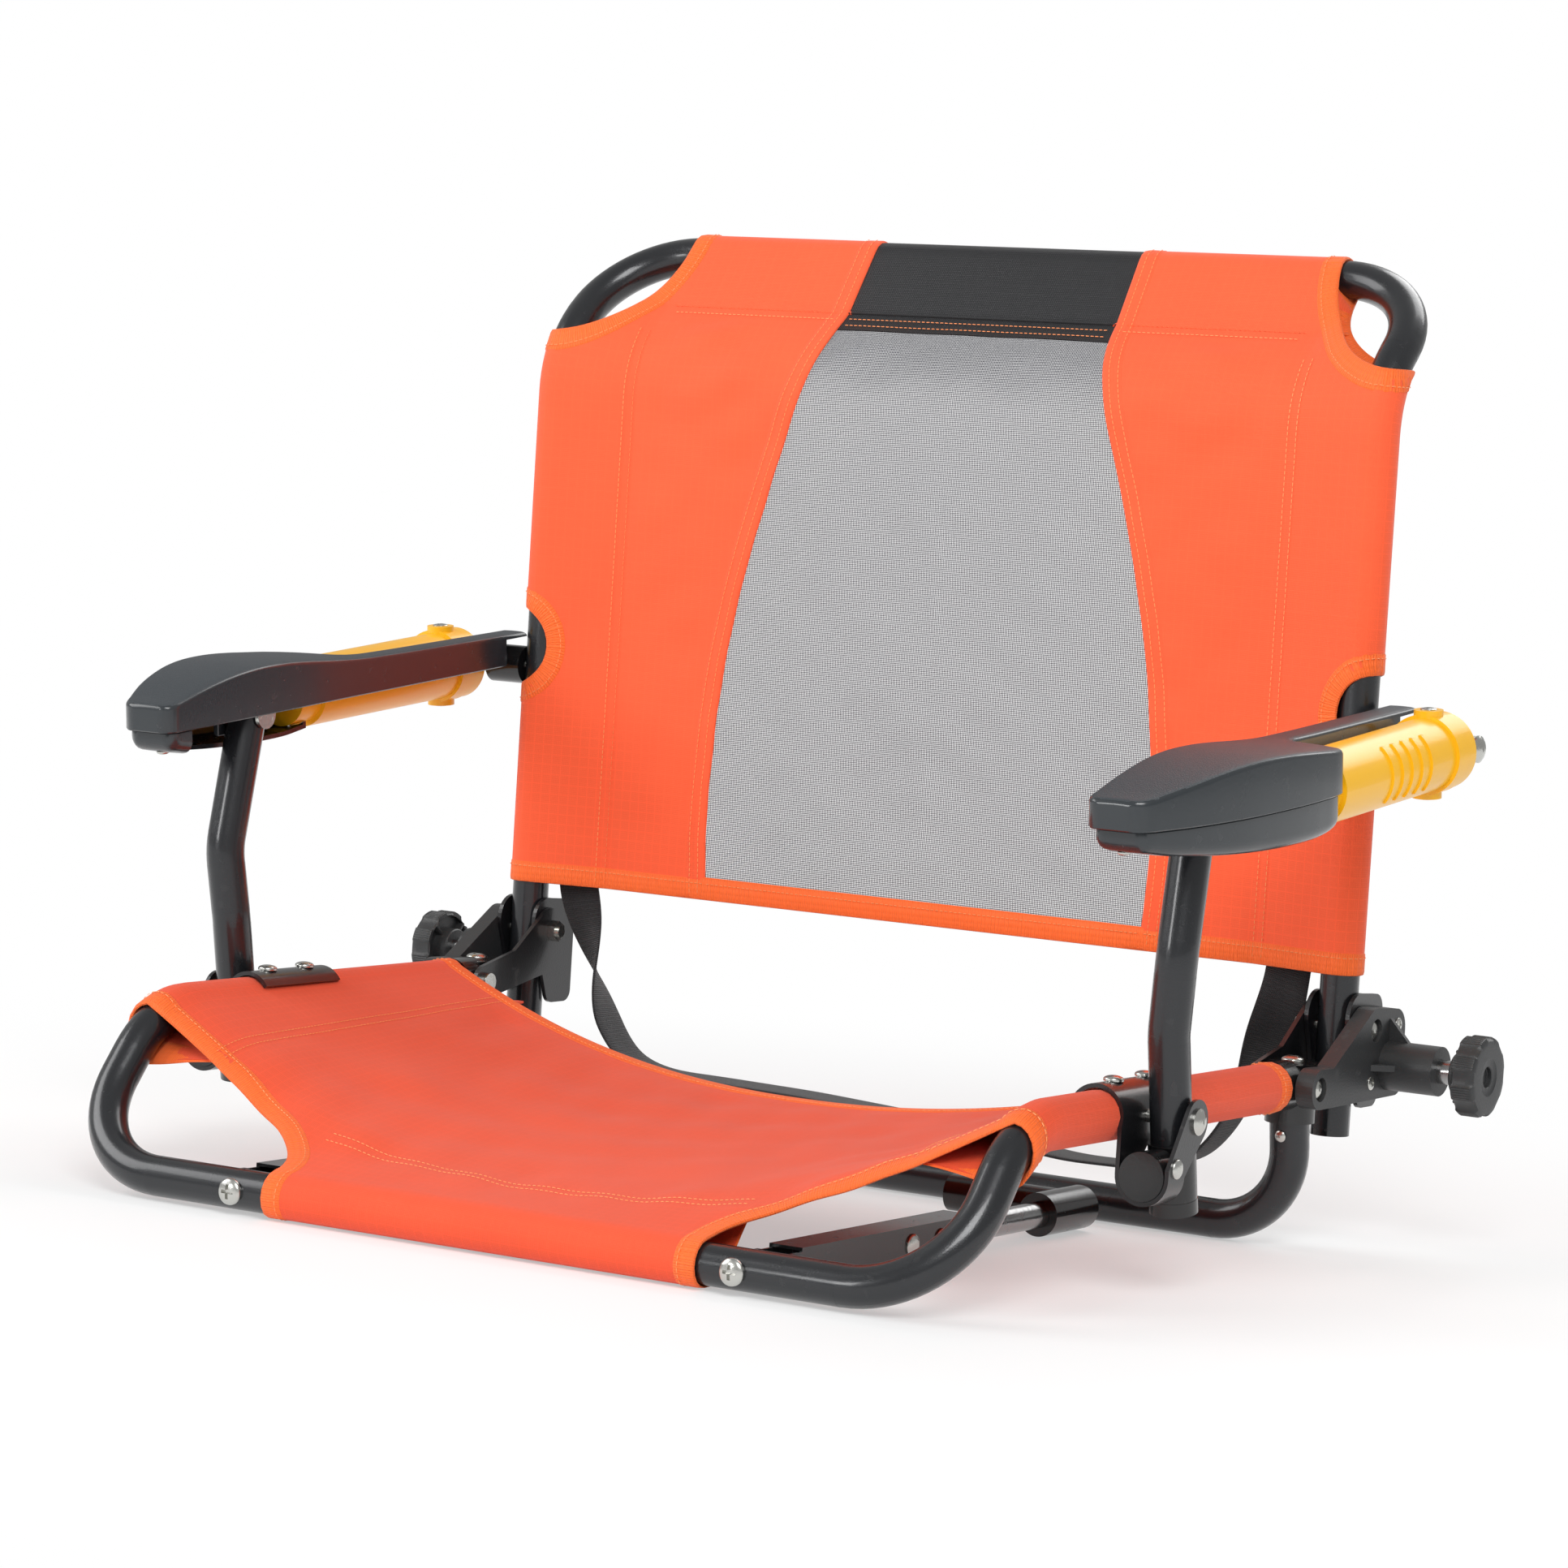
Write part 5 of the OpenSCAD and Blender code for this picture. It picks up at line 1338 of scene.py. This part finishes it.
    def build(self) -> None:
        """Builds the seat's cloth, tapes and thread."""
        far = self.rail_x + self.under * self.skin_r + self.flap
        near = -(self.front_turn * self.skin_r + self.front_flap)
        pattern = Pattern((-far, near), (far, self.length), self.cut, self.place)
        cover = self.press(pattern.sheet("cover", self.thick))
        settle(cover, "seat_cover", "seat", SEAT_CLOTH, 60)
        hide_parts("seat_sling", "seat_sleeves")
        declare_sheet(cover, pattern)
        hem = lambda a, b: (np.abs(a) < far - 0.6) & (b > near + 0.6)
        settle(self.press(pattern.binding("tape", hem)), "seat_binding", "seat", BINDING, 50)
        rows = [straight((-116, d), (116, d)) for d in (36.0, 42.5)]
        for s in (-190.0, -190.0 - ROW_GAP, 190.0, 190.0 + ROW_GAP):
            rows.append(straight((s, 52), (s, self.length - 3)))
        settle(pattern.stitches("thread", rows, 0.75), "seat_stitches", "seat", THREAD)
        sewn = self.press(pattern.stitches("thread", pattern.inset_rows(hem, TAPE_ROW), 1.1))
        settle(sewn, "seat_binding_stitches", "seat", THREAD)


@dataclass
class CarryStrap:
    """The webbing strap behind the back's lower end."""

    width: float = 24.0
    thick: float = 1.6
    plane_y: float = 158.4
    sewn: float = 22.0
    twist_length: float = 75.0
    route: tuple[Triple, ...] = (
        (209, 0, 150), (209, 0, 131), (203, 6, 110), (192, 5, 78), (182, 2, 50), (167, 0, 31), (143, 0, 24),
        (97, 0, 23), (50, 0, 28), (0, 0, 33), (-60, 0, 36), (-120, 0, 37), (-149, 0, 37), (-171, 1, 42),
        (-187, 3, 60), (-197, 5, 84), (-205, 5, 110), (-209, 0, 131), (-209, 0, 150))

    @staticmethod
    def travelled(p: Array) -> Array:
        """The distance along a line up to each of its points."""
        return np.append(0, np.cumsum(np.linalg.norm(np.diff(p, axis=0), axis=1)))

    def line(self) -> Array:
        """The strap's middle line, rounded.

        Returns:
            Its points, from the back's plane.
        """
        points, rounds = 180, 14
        p = np.asarray(self.route, float)
        along = self.travelled(p)
        at = np.linspace(0, along[-1], points)
        q = np.stack([np.interp(at, along, p[:, i]) for i in range(3)], 1)
        for _ in range(rounds):
            q[1:-1] = (q[:-2] + 2 * q[1:-1] + q[2:]) / 4
        return q

    def section(self) -> list[tuple[float, float]]:
        """The webbing's section with rolled edges.

        Returns:
            Each corner's place across and off the middle.
        """
        w, t, edge = self.width / 2, self.thick / 2, 0.7
        half = [(-w, 0.5 * t), (-w + edge, t), (-w / 2, 0.86 * t), (0, 0.9 * t)]
        half += [(w / 2, 0.86 * t), (w - edge, t), (w, 0.5 * t)]
        return half + [(u, -v) for u, v in reversed(half)]

    def build(self) -> None:
        """Builds the strap, which turns edge-on away from its sewn ends."""
        q = self.line()
        along = self.travelled(q)
        go = np.gradient(q, axis=0)
        go /= np.linalg.norm(go, axis=1)[:, None]
        side = np.stack([-go[:, 2], np.zeros(len(q)), go[:, 0]], 1)
        side /= np.linalg.norm(side, axis=1)[:, None]
        from_end = np.minimum(along, along[-1] - along)
        turn = (math.pi / 2 * smooth_span(from_end, self.sewn, self.sewn + self.twist_length))[:, None]
        side = side * np.cos(turn) + np.array([0.0, 1.0, 0.0]) * np.sin(turn)
        out = np.cross(go, side)
        centre = q + np.array([0, self.plane_y, 0])
        section = self.section()
        rings = [centre + side * u + out * v for u, v in section]
        uv = np.concatenate([np.stack([np.full(len(q), u * MM), along * MM], 1) for u, _ in section])
        n, m = len(q), len(section)
        faces = []
        for k in range(m):
            low, high = k * n, (k + 1) % m * n
            faces += [[low + i, low + i + 1, high + i + 1, high + i] for i in range(n - 1)]
        faces += [[k * n for k in range(m)], [k * n + n - 1 for k in reversed(range(m))]]
        strap = mesh_piece("strap", np.concatenate(rings), faces, uv)
        in_edit(strap, lambda: bpy.ops.mesh.normals_make_consistent(inside=False))
        settle(strap, "carry_strap_webbing", "back", WEBBING, 50)
        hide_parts("carry_strap")


# A line of the arm: distances from its pivot, and the values there
ArmLine = tuple[tuple[float, ...], tuple[float, ...]]


@dataclass
class ArmRest:
    """An arm: a grained top shell with glossy sides, and the belly cover under it.

    The arm's own frame runs forward along -Y from the pivot.
    """

    tilt: float = math.radians(6.464)
    pivot: tuple[float, float] = (156.5, 244.0)
    rear: float = -5.0
    nose: float = 299.0
    low: float = 0.5
    wall: float = 2.4
    fillet: float = 2.3
    belly: tuple[float, float] = (154.0, 295.0)
    belly_fillet: float = 6.0
    belly_wall: float = 2.2
    post_s: float = 219.4
    housing_x: float = 286.0
    housing_r: float = 15.55
    collar_r: float = 17.85
    inner: ArmLine = ((-5, 150, 239, 299), (251, 251, 249.8, 249.8))
    outer: ArmLine = (
        (-5, 127, 134, 141, 145.5, 150, 156, 164, 185, 210, 238, 265, 283, 294, 299),
        (266.4, 266.4, 268.6, 275.5, 288, 300, 305, 306, 306, 304, 300, 293, 286, 280.5, 277.5))
    top: ArmLine = (
        (-5, 100, 140, 165, 190, 213, 235, 260, 285, 299),
        (17, 18.5, 19.5, 21.5, 24, 25.3, 25, 21.8, 16.5, 13))
    under: ArmLine = (
        (154, 165, 181, 210, 238, 260, 285, 295), (-15.5, -17.5, -18, -17.6, -16, -14, -11, -8))

    def curve(self, line: ArmLine, s: Array, reach: Array | float) -> Array:
        """A line of the arm, rounded over a reach."""
        return sum(np.interp(s + k * reach / 4, *line) for k in range(-4, 5)) / 9

    def edges(
        self, s: Array, ends: tuple[float, float], inset: float, corner: float
    ) -> tuple[Array, Array, Array]:
        """Where the plan's inner and outer edges are, and how steep the outer one is.

        Args:
            s: distances from the pivot.
            ends: where the plan starts and ends.
            inset: how far inside the outline it stays.
            corner: the radius of its nose corners.

        Returns:
            Both edges and the steepness.
        """
        reach = 2.0 + 9 * smooth_span(s, 158, 190)
        out, ahead, behind = (self.curve(self.outer, s + step, reach) for step in (0, 0.5, -0.5))
        steep = np.hypot(1, ahead - behind)
        left = np.clip(ends[1] - s, 0, corner)
        round_off = corner - np.sqrt(corner**2 - (corner - left) ** 2)
        return self.curve(self.inner, s, 8.0) + inset + round_off, out - inset * steep - round_off, steep

    def stations(self, ends: tuple[float, float], near: Sequence[float], step: float) -> Array:
        """Places along the arm, closer together at both ends.

        Args:
            ends: where they start and end.
            near: their distances from each end.
            step: about how far apart they are between.

        Returns:
            The places.
        """
        d = np.asarray(near)
        count = int((ends[1] - ends[0] - 2 * d[-1]) / step) + 1
        middle = np.linspace(ends[0] + d[-1], ends[1] - d[-1], count)
        return np.concatenate([ends[0] + d[:-1], middle, (ends[1] - d[:-1])[::-1]])

    def block(self, ends: tuple[float, float], inset: float, corner: float, flat: float,
              height: Callable[[Array], Array], fillet: float, rear_round: bool) -> Piece:
        """Builds a block on the arm's plan with one shaped side.

        Args:
            ends: where it starts and ends.
            inset: how far inside the arm's outline it stays.
            corner: the radius of the nose corners.
            flat: the height of its flat side.
            height: the height of its shaped side at a distance.
            fillet: the radius of the edge round the shaped side.
            rear_round: whether the rear edge has the fillet too.

        Returns:
            The block, in the arm's frame.
        """
        s = self.stations(ends, (0, 0.15, 0.5, 1.0, 1.7, 2.6, 3.8, 5.4, 7.6), 2.2)
        low, high, steep = self.edges(s, ends, inset, corner)
        near = fillet * np.array([0, 0.04, 0.16, 0.36, 0.64, 1.0])
        share = np.linspace(0, 1, 10)[1:-1]
        x = [low + d for d in near]
        x += [low + near[-1] + (high - low - 2 * near[-1]) * t for t in share]
        x += [high - d for d in near[::-1]]
        x = np.stack(x, 1)
        far = np.minimum((x - low[:, None]), (high[:, None] - x) / steep[:, None])
        far = np.minimum(far, (ends[1] - s)[:, None])
        if rear_round:
            far = np.minimum(far, (s - ends[0])[:, None])
        drop = fillet - np.sqrt(np.maximum(fillet**2 - (fillet - np.clip(far, 0, fillet)) ** 2, 0))
        across = 2 * (x - low[:, None]) / (high - low)[:, None] - 1
        crown = (high - low)[:, None] * 0.02 * (1 - across**2)
        way = 1 if flat < height(s)[0] else -1
        z = height(s)[:, None] + (crown - drop) * way
        soft = 0.6

        def shape(row: Array, column: Array, level: Array) -> Array:
            """Places the grid's corners, with a small round on the flat side's rim.

            Args:
                row: each corner's place along.
                column: its place across.
                level: 0 on the flat side, 1 just above it and 2 on the shaped side.

            Returns:
                The places in the arm's frame.
            """
            middle, half = (high[row] + low[row]) / 2, (high[row] - low[row]) / 2
            narrow = np.where(level == 0, 1 - soft / half, 1.0)
            across = middle + (x[row, column] - middle) * narrow
            along = np.where(level == 0, np.clip(s[row], ends[0] + soft, ends[1] - soft), s[row])
            heights = [np.full(len(row), flat), np.full(len(row), flat + soft * way), z[row, column]]
            return np.stack([across, -along, np.choose(level, heights)], -1)

        return relief_block(len(s) - 1, x.shape[1] - 1, shape)

    def shell(self) -> Piece:
        """The top shell, hollow below, with its lugs for the post's bolt.

        Returns:
            The right arm's shell, in the arm's frame.
        """
        whole = (self.rear, self.nose)
        rise = lambda s: self.curve(self.top, s, 12.0) - 0.15
        piece = self.block(whole, 0.0, 7.5, self.low, rise, self.fillet, True)
        inside = (self.rear + self.wall, self.nose - self.wall)
        carve(piece, self.block(inside, self.wall, 5.5, -3.0, lambda s: rise(s) - self.wall, 1.5, True))
        carve(piece, box_tool((246, -14, -5), (275, 12, 14.6)))
        y = -self.post_s
        carve(piece, box_tool((251.6, y - 11.2, 0.5), (254.2, y + 10.8, 24.0), 0.6), "UNION")
        carve(piece, box_tool((273.8, y - 11.2, -11), (277.3, y + 10.8, 23.6), 0.8), "UNION")
        carve(piece, rod_tool(7.25, (252.0, y, 0), (256, y, 0)))
        carve(piece, rod_tool(9.25, (272.0, y, 0), (279, y, 0)))
        carve(piece, rod_tool(self.collar_r, (self.housing_x, -149.4, 0), (self.housing_x, 12, 0), 96))
        carve(piece, self.housing_room())
        return piece

    def housing_room(self) -> Piece:
        """The room that the spring housing takes in the mouldings."""
        return rod_tool(self.housing_r, (self.housing_x, -171, 0), (self.housing_x, 0, 0), 96)

    def cover(self) -> Piece:
        """The belly cover, open on the inner side behind the nose.

        Returns:
            The right arm's cover, in the arm's frame.
        """
        rise = lambda s: self.curve(self.under, s, 9.0) + 0.15
        piece = self.block(self.belly, 2.0, 6.0, 0.2, rise, self.belly_fillet, False)
        inside = (self.belly[0] + self.belly_wall, self.belly[1] - self.belly_wall)
        hollow = lambda s: rise(s) + self.belly_wall
        carve(piece, self.block(inside, 2.0 + self.belly_wall, 5.0, 4.0, hollow, 4.5, False))
        carve(piece, box_tool((240, -279, -30), (277.9, -140, 10)))
        carve(piece, self.housing_room())
        carve(piece, rod_tool(3.75, (284, -161, -25), (284, -161, -16.4)))
        carve(piece, rod_tool(3.3, (263.8, -287, -16), (263.8, -287, -9.6)))
        return piece

    def lay(self, piece: Piece) -> None:
        """Tilts a piece from the arm's frame into the seat's.

        Args:
            piece: the piece.
        """
        p = get_points(piece)
        c, s = math.cos(self.tilt), math.sin(self.tilt)
        y, z = p[:, 1] * c - p[:, 2] * s + self.pivot[0], p[:, 1] * s + p[:, 2] * c + self.pivot[1]
        put_points(piece, np.stack([p[:, 0], y, z], 1))

    def build(self) -> None:
        """Builds both arms."""
        for make, word in ((self.shell, "shell"), (self.cover, "cover")):
            right = make()
            self.lay(right)
            for piece, side in ((right, "right"), (twin(right), "left")):
                settle(piece, f"arm_{word}_{side}_moulding", "arms", ARM_SIDE, 32)
                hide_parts(f"arm_{word}_{side}")
                if word == "shell":
                    self.grain_top(piece)

    def grain_top(self, piece: Piece) -> None:
        """Gives the upper faces of a shell the grained finish.

        Args:
            piece: the shell at its place.
        """
        least_up, least_above = 0.72, 14.0
        piece.data.materials.append(ARM_TOP.make())
        for face in piece.data.polygons:
            along = (self.pivot[0] * MM - face.center.y) / MM
            above = face.center.z / MM - (self.pivot[1] - along * math.tan(self.tilt))
            face.material_index = int(face.normal.z > least_up and above > least_above)


@dataclass
class Knob:
    """A lock knob: a ridged rim with notches, a dished face and a hollow back with webs."""

    axis: tuple[float, float] = (172.5, 87.0)
    start: float = 294.1
    rim: float = 19.75
    notches: int = 8
    notch_deep: float = 1.7
    notch_half: float = 4.0
    ridges: int = 96
    ridge_deep: float = 0.32

    def place(self, x: Array, y: Array, z: Array, turn: float = 0.0) -> Array:
        """Puts places of the knob's own frame on its shaft, turned about it."""
        c, s = math.cos(turn), math.sin(turn)
        return np.stack([x, y * c - z * s + self.axis[0], y * s + z * c + self.axis[1]], 1)

    def wheel(self) -> Piece:
        """The turned knob with its ridges and notches.

        Returns:
            The wheel at its place.
        """
        profile = [
            (0.0, 0.2), (3.0, 0.2), (9.9, 0.0), (10.5, 0.6), (10.5, 6.2), (10.7, 8.2), (16.8, 8.2),
            (17.2, 7.8), (17.2, 5.4), (17.8, 5.0), (19.2, 5.2), (19.75, 6.0), (19.75, 8.0), (19.75, 12.0),
            (19.75, 14.8),
            (19.2, 16.1), (18.0, 16.8), (15.5, 17.0), (9.2, 16.9), (8.4, 16.4), (5.4, 16.2), (5.0, 15.8),
            (5.0, 14.0), (4.5, 13.7), (0.0, 13.7)]
        piece = turned(profile, self.ridges * 4)
        p = get_points(piece)
        radius, turn = np.hypot(p[:, 0], p[:, 1]), np.arctan2(p[:, 1], p[:, 0])
        phase = np.rint(turn / math.tau * self.ridges * 4).astype(int) % 4
        rim = smooth_span(radius, 17.4, 19.0)
        spread = math.tau / self.notches
        gap = np.abs((turn / spread + 0.5) % 1 - 0.5) * spread * self.rim
        notch = self.notch_deep * np.sqrt(np.clip(1 - (gap / self.notch_half) ** 2, 0, 1))
        on_rim = smooth_span(p[:, 2], 5.3, 6.3) * (1 - smooth_span(p[:, 2], 14.6, 16.2))
        ridge = np.where(phase >= 2, self.ridge_deep, 0.0) * (notch < 0.05) * on_rim
        scale = 1 - rim * (notch + ridge) / np.maximum(radius, 1)
        put_points(piece, self.place(p[:, 2] + self.start, p[:, 0] * scale, p[:, 1] * scale))
        return piece

    def web(self, turn: float) -> Piece:
        """One web of the hollow back.

        Args:
            turn: how far it is turned about the shaft.

        Returns:
            The web at its place.
        """
        piece = box_tool((self.start + 4.4, 10.2, -0.7), (self.start + 9, 17.6, 0.7), 0.3)
        put_points(piece, self.place(*get_points(piece).T, turn))
        return piece

    def build(self) -> None:
        """Builds both knobs."""
        right = gather([self.wheel(), *[self.web(math.radians(45 + 90 * k)) for k in range(4)]])
        for piece, side in ((right, "right"), (twin(right), "left")):
            settle(piece, f"lock_knob_{side}", f"knob_{side[0]}", LOCK, 30)
            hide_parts(f"knob_{side}")


@dataclass(frozen=True)
class Head:
    """One screw or rivet: where its head sits, which way it faces, and its size in millimetres."""

    node: str
    body: str
    seat: Triple
    facing: Triple
    wide: float
    high: float
    shank: tuple[float, float]
    cross: bool = True


class Fasteners:
    """The visible screws and rivets, with cross recesses where the real ones have them."""

    def one(self, head: Head) -> Piece:
        """Builds one fastener at its place.

        Args:
            head: its place, size and shape.

        Returns:
            The fastener.
        """
        r, h = head.wide / 2, head.high
        dome = [(r * math.sin(t), h * 0.28 + h * 0.72 * math.cos(t)) for t in np.linspace(0, math.pi / 2, 9)]
        shank, length = head.shank
        piece = turned([*dome, (r * 0.985, 0.0), (shank, 0.0), (shank, -length), (0.0, -length)], 40)
        if head.cross:
            w, long, deep = head.wide * 0.055 + 0.12, head.wide * 0.27, h * 0.62
            for a, b in ((long, w), (w, long)):
                carve(piece, box_tool((-a, -b, h - deep), (a, b, h + 1)))
        turn = Vector(head.facing).to_track_quat("Z", "Y").to_matrix()
        p = get_points(piece) @ np.array(turn).T + np.array(head.seat)
        put_points(piece, p)
        return piece

    def build(self) -> None:
        """Builds every fastener, one piece for each CAD node."""
        tilt = ArmRest.tilt
        c, s = math.cos(tilt), math.sin(tilt)
        pivot_y, pivot_z = ArmRest.pivot
        arm = lambda x, y, z: (x, y * c - z * s + pivot_y, y * s + z * c + pivot_z)
        heads = [
            Head("connector_screws", "seat", (237, 110, 90.6), (0, 0, 1), 11, 3.2, (2.4, 6.0)),
            Head("hook_bolts", "seat", (136.4, -221, 10.9), (0, -1, 0), 12.5, 3.4, (2.9, 8.0)),
            Head("bracket_rivets", "seat", (236.3, -70.5, 94.6), (0, 0, 1), 9.5, 2.6, (2.2, 2.0), False),
            Head("bracket_rivets", "seat", (236.3, -40.5, 94.6), (0, 0, 1), 9.5, 2.6, (2.2, 2.0), False),
            Head("insert_rivets", "seat", (274.8, -79.5, 60.5), (1, 0, 0), 9, 2.2, (2.2, 2.0), False),
            Head("arm_screws", "arms", arm(284, -161, -16.65), (0, s, -c), 7, 1.96, (1.5, 4.0)),
            Head("arm_screws", "arms", arm(263.8, -287, -10.2), (0, s, -c), 6, 1.68, (1.5, 4.0)),
            Head("housing_screws", "rocker", (258.3, 180.5, 106.2), (1, 0, 0), 7, 1.0, (1.7, 7.0)),
            Head("housing_screws", "rocker", (258.3, 153.5, 79.7), (1, 0, 0), 7, 1.0, (1.7, 7.0)),
            Head("ring_screws", "arms", arm(286, -25, 21), (0, -s, c), 8, 1.0, (1.7, 3.0)),
            Head("ring_screws", "arms", arm(286, -25, -21), (0, s, -c), 8, 1.0, (1.7, 3.0)),
            Head("hook_rivets", "seat", (149.5, -89.5, 11), (1, 0, 0), 10.5, 2.0, (2.2, 1.5), False),
            Head("hook_rivets", "seat", (149.5, -63.5, 11), (1, 0, 0), 10.5, 2.0, (2.2, 1.5), False),
        ]
        for node in dict.fromkeys(head.node for head in heads):
            mine = [head for head in heads if head.node == node]
            right = [self.one(head) for head in mine]
            piece = gather([*right, *[twin(r) for r in right]])
            settle(piece, f"{node}_heads", mine[0].body, ZINC, 40)
            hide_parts(node)


@dataclass
class Studio:
    """The floor, the light and the camera."""

    eye: Triple = (1.2773, -2.068, 0.362)
    right: Triple = (0.8494, 0.5242, 0.0609)
    up: Triple = (-0.0855, 0.0227, 0.9961)
    lens: float = 116.6

    def floor(self) -> None:
        """Adds a flat pale floor that turns whiter far from the seat."""
        deselect()
        bpy.ops.mesh.primitive_grid_add(x_subdivisions=2, y_subdivisions=2, size=14, location=(0, 0, -0.0004))
        floor = bpy.context.object
        floor.name = "studio_floor"
        material = bpy.data.materials.new("pale floor")
        material.use_nodes = True
        tree = material.node_tree
        shader = tree.nodes["Principled BSDF"]
        shader.inputs["Base Color"].default_value = (0.93, 0.93, 0.93, 1)
        shader.inputs["Roughness"].default_value = 0.6
        shader.inputs["Specular IOR Level"].default_value = 0.1
        plain = tree.nodes.new("ShaderNodeEmission")
        blend = tree.nodes.new("ShaderNodeMixShader")
        path = tree.nodes.new("ShaderNodeLightPath")
        seen = math_node(tree, "MAXIMUM", path.outputs["Is Camera Ray"], path.outputs["Is Glossy Ray"])
        place = tree.nodes.new("ShaderNodeTexCoord").outputs["Object"]
        reach = link_chain(tree, place, tree.nodes.new("ShaderNodeVectorMath"))
        reach.operation = "LENGTH"
        away = tree.nodes.new("ShaderNodeMapRange")
        away.interpolation_type = "SMOOTHSTEP"
        for label, value in (("From Min", 0.3), ("From Max", 0.9), ("To Min", 0.45), ("To Max", 1.0)):
            away.inputs[label].default_value = value
        tree.links.new(reach.outputs["Value"], away.inputs["Value"])
        tree.links.new(times(tree, seen, away.outputs[0]), blend.inputs[0])
        tree.links.new(shader.outputs[0], blend.inputs[1])
        tree.links.new(plain.outputs[0], blend.inputs[2])
        tree.links.new(blend.outputs[0], tree.nodes["Material Output"].inputs["Surface"])
        floor.data.materials.append(material)

    def lamp(self, name: str, place: Triple, size: float, watts: float) -> None:
        """Adds a soft square lamp that faces the seat.

        Args:
            name: its name.
            place: where it stands, in metres.
            size: the length of its sides in metres.
            watts: its power.
        """
        data = bpy.data.lights.new(name, "AREA")
        data.size, data.energy = size, watts
        lamp = bpy.data.objects.new(name, data)
        bpy.context.scene.collection.objects.link(lamp)
        lamp.location = place
        lamp.rotation_euler = (Vector((0, 0, 0.2)) - Vector(place)).to_track_quat("-Z", "Y").to_euler()

    def light(self) -> None:
        """Sets the lamps and the world."""
        room_level = 0.42
        self.lamp("key", (1.6, -2.2, 2.2), 1.5, 64)
        self.lamp("fill", (-2.2, -1.2, 1.5), 1.6, 31)
        self.lamp("back", (0.3, 2.2, 2.2), 1.8, 33)
        self.lamp("low", (-0.9, -2.4, 0.7), 0.5, 9)
        world = bpy.data.worlds.new("pale room")
        bpy.context.scene.world = world
        world.use_nodes = True
        tree = world.node_tree
        tree.nodes["Background"].inputs["Color"].default_value = (1, 1, 1, 1)
        path = tree.nodes.new("ShaderNodeLightPath")
        seen = math_node(tree, "MAXIMUM", path.outputs["Is Camera Ray"], path.outputs["Is Transmission Ray"])
        strength = plus(tree, room_level, times(tree, seen, 1 - room_level))
        tree.links.new(strength, tree.nodes["Background"].inputs["Strength"])

    def camera(self) -> None:
        """Sets the camera at the photograph's place."""
        right, up = Vector(self.right).normalized(), Vector(self.up).normalized()
        data = bpy.data.cameras.new("camera")
        data.sensor_width, data.lens, data.clip_end = 36.0, self.lens, 60.0
        camera = bpy.data.objects.new("camera", data)
        bpy.context.scene.collection.objects.link(camera)
        turn = camera.matrix_world.to_3x3()
        turn.col[0], turn.col[1], turn.col[2] = right, up, right.cross(up)
        camera.matrix_world = turn.to_4x4()
        camera.location = self.eye
        bpy.context.scene.camera = camera
        bpy.context.scene.view_settings.view_transform = "Standard"


def dress_nodes() -> None:
    """Gives every CAD node its finish."""
    for finish, names in NODE_FINISH.items():
        for name in names:
            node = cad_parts[name]
            node.data.materials.clear()
            node.data.materials.append(finish.make())


def main() -> None:
    """Builds the looks of the seat."""
    studio = Studio()
    studio.camera()
    studio.floor()
    studio.light()
    dress_nodes()
    BackCover().build()
    SeatCover().build()
    CarryStrap().build()
    ArmRest().build()
    Knob().build()
    Fasteners().build()


if __name__ == "__main__":
    main()
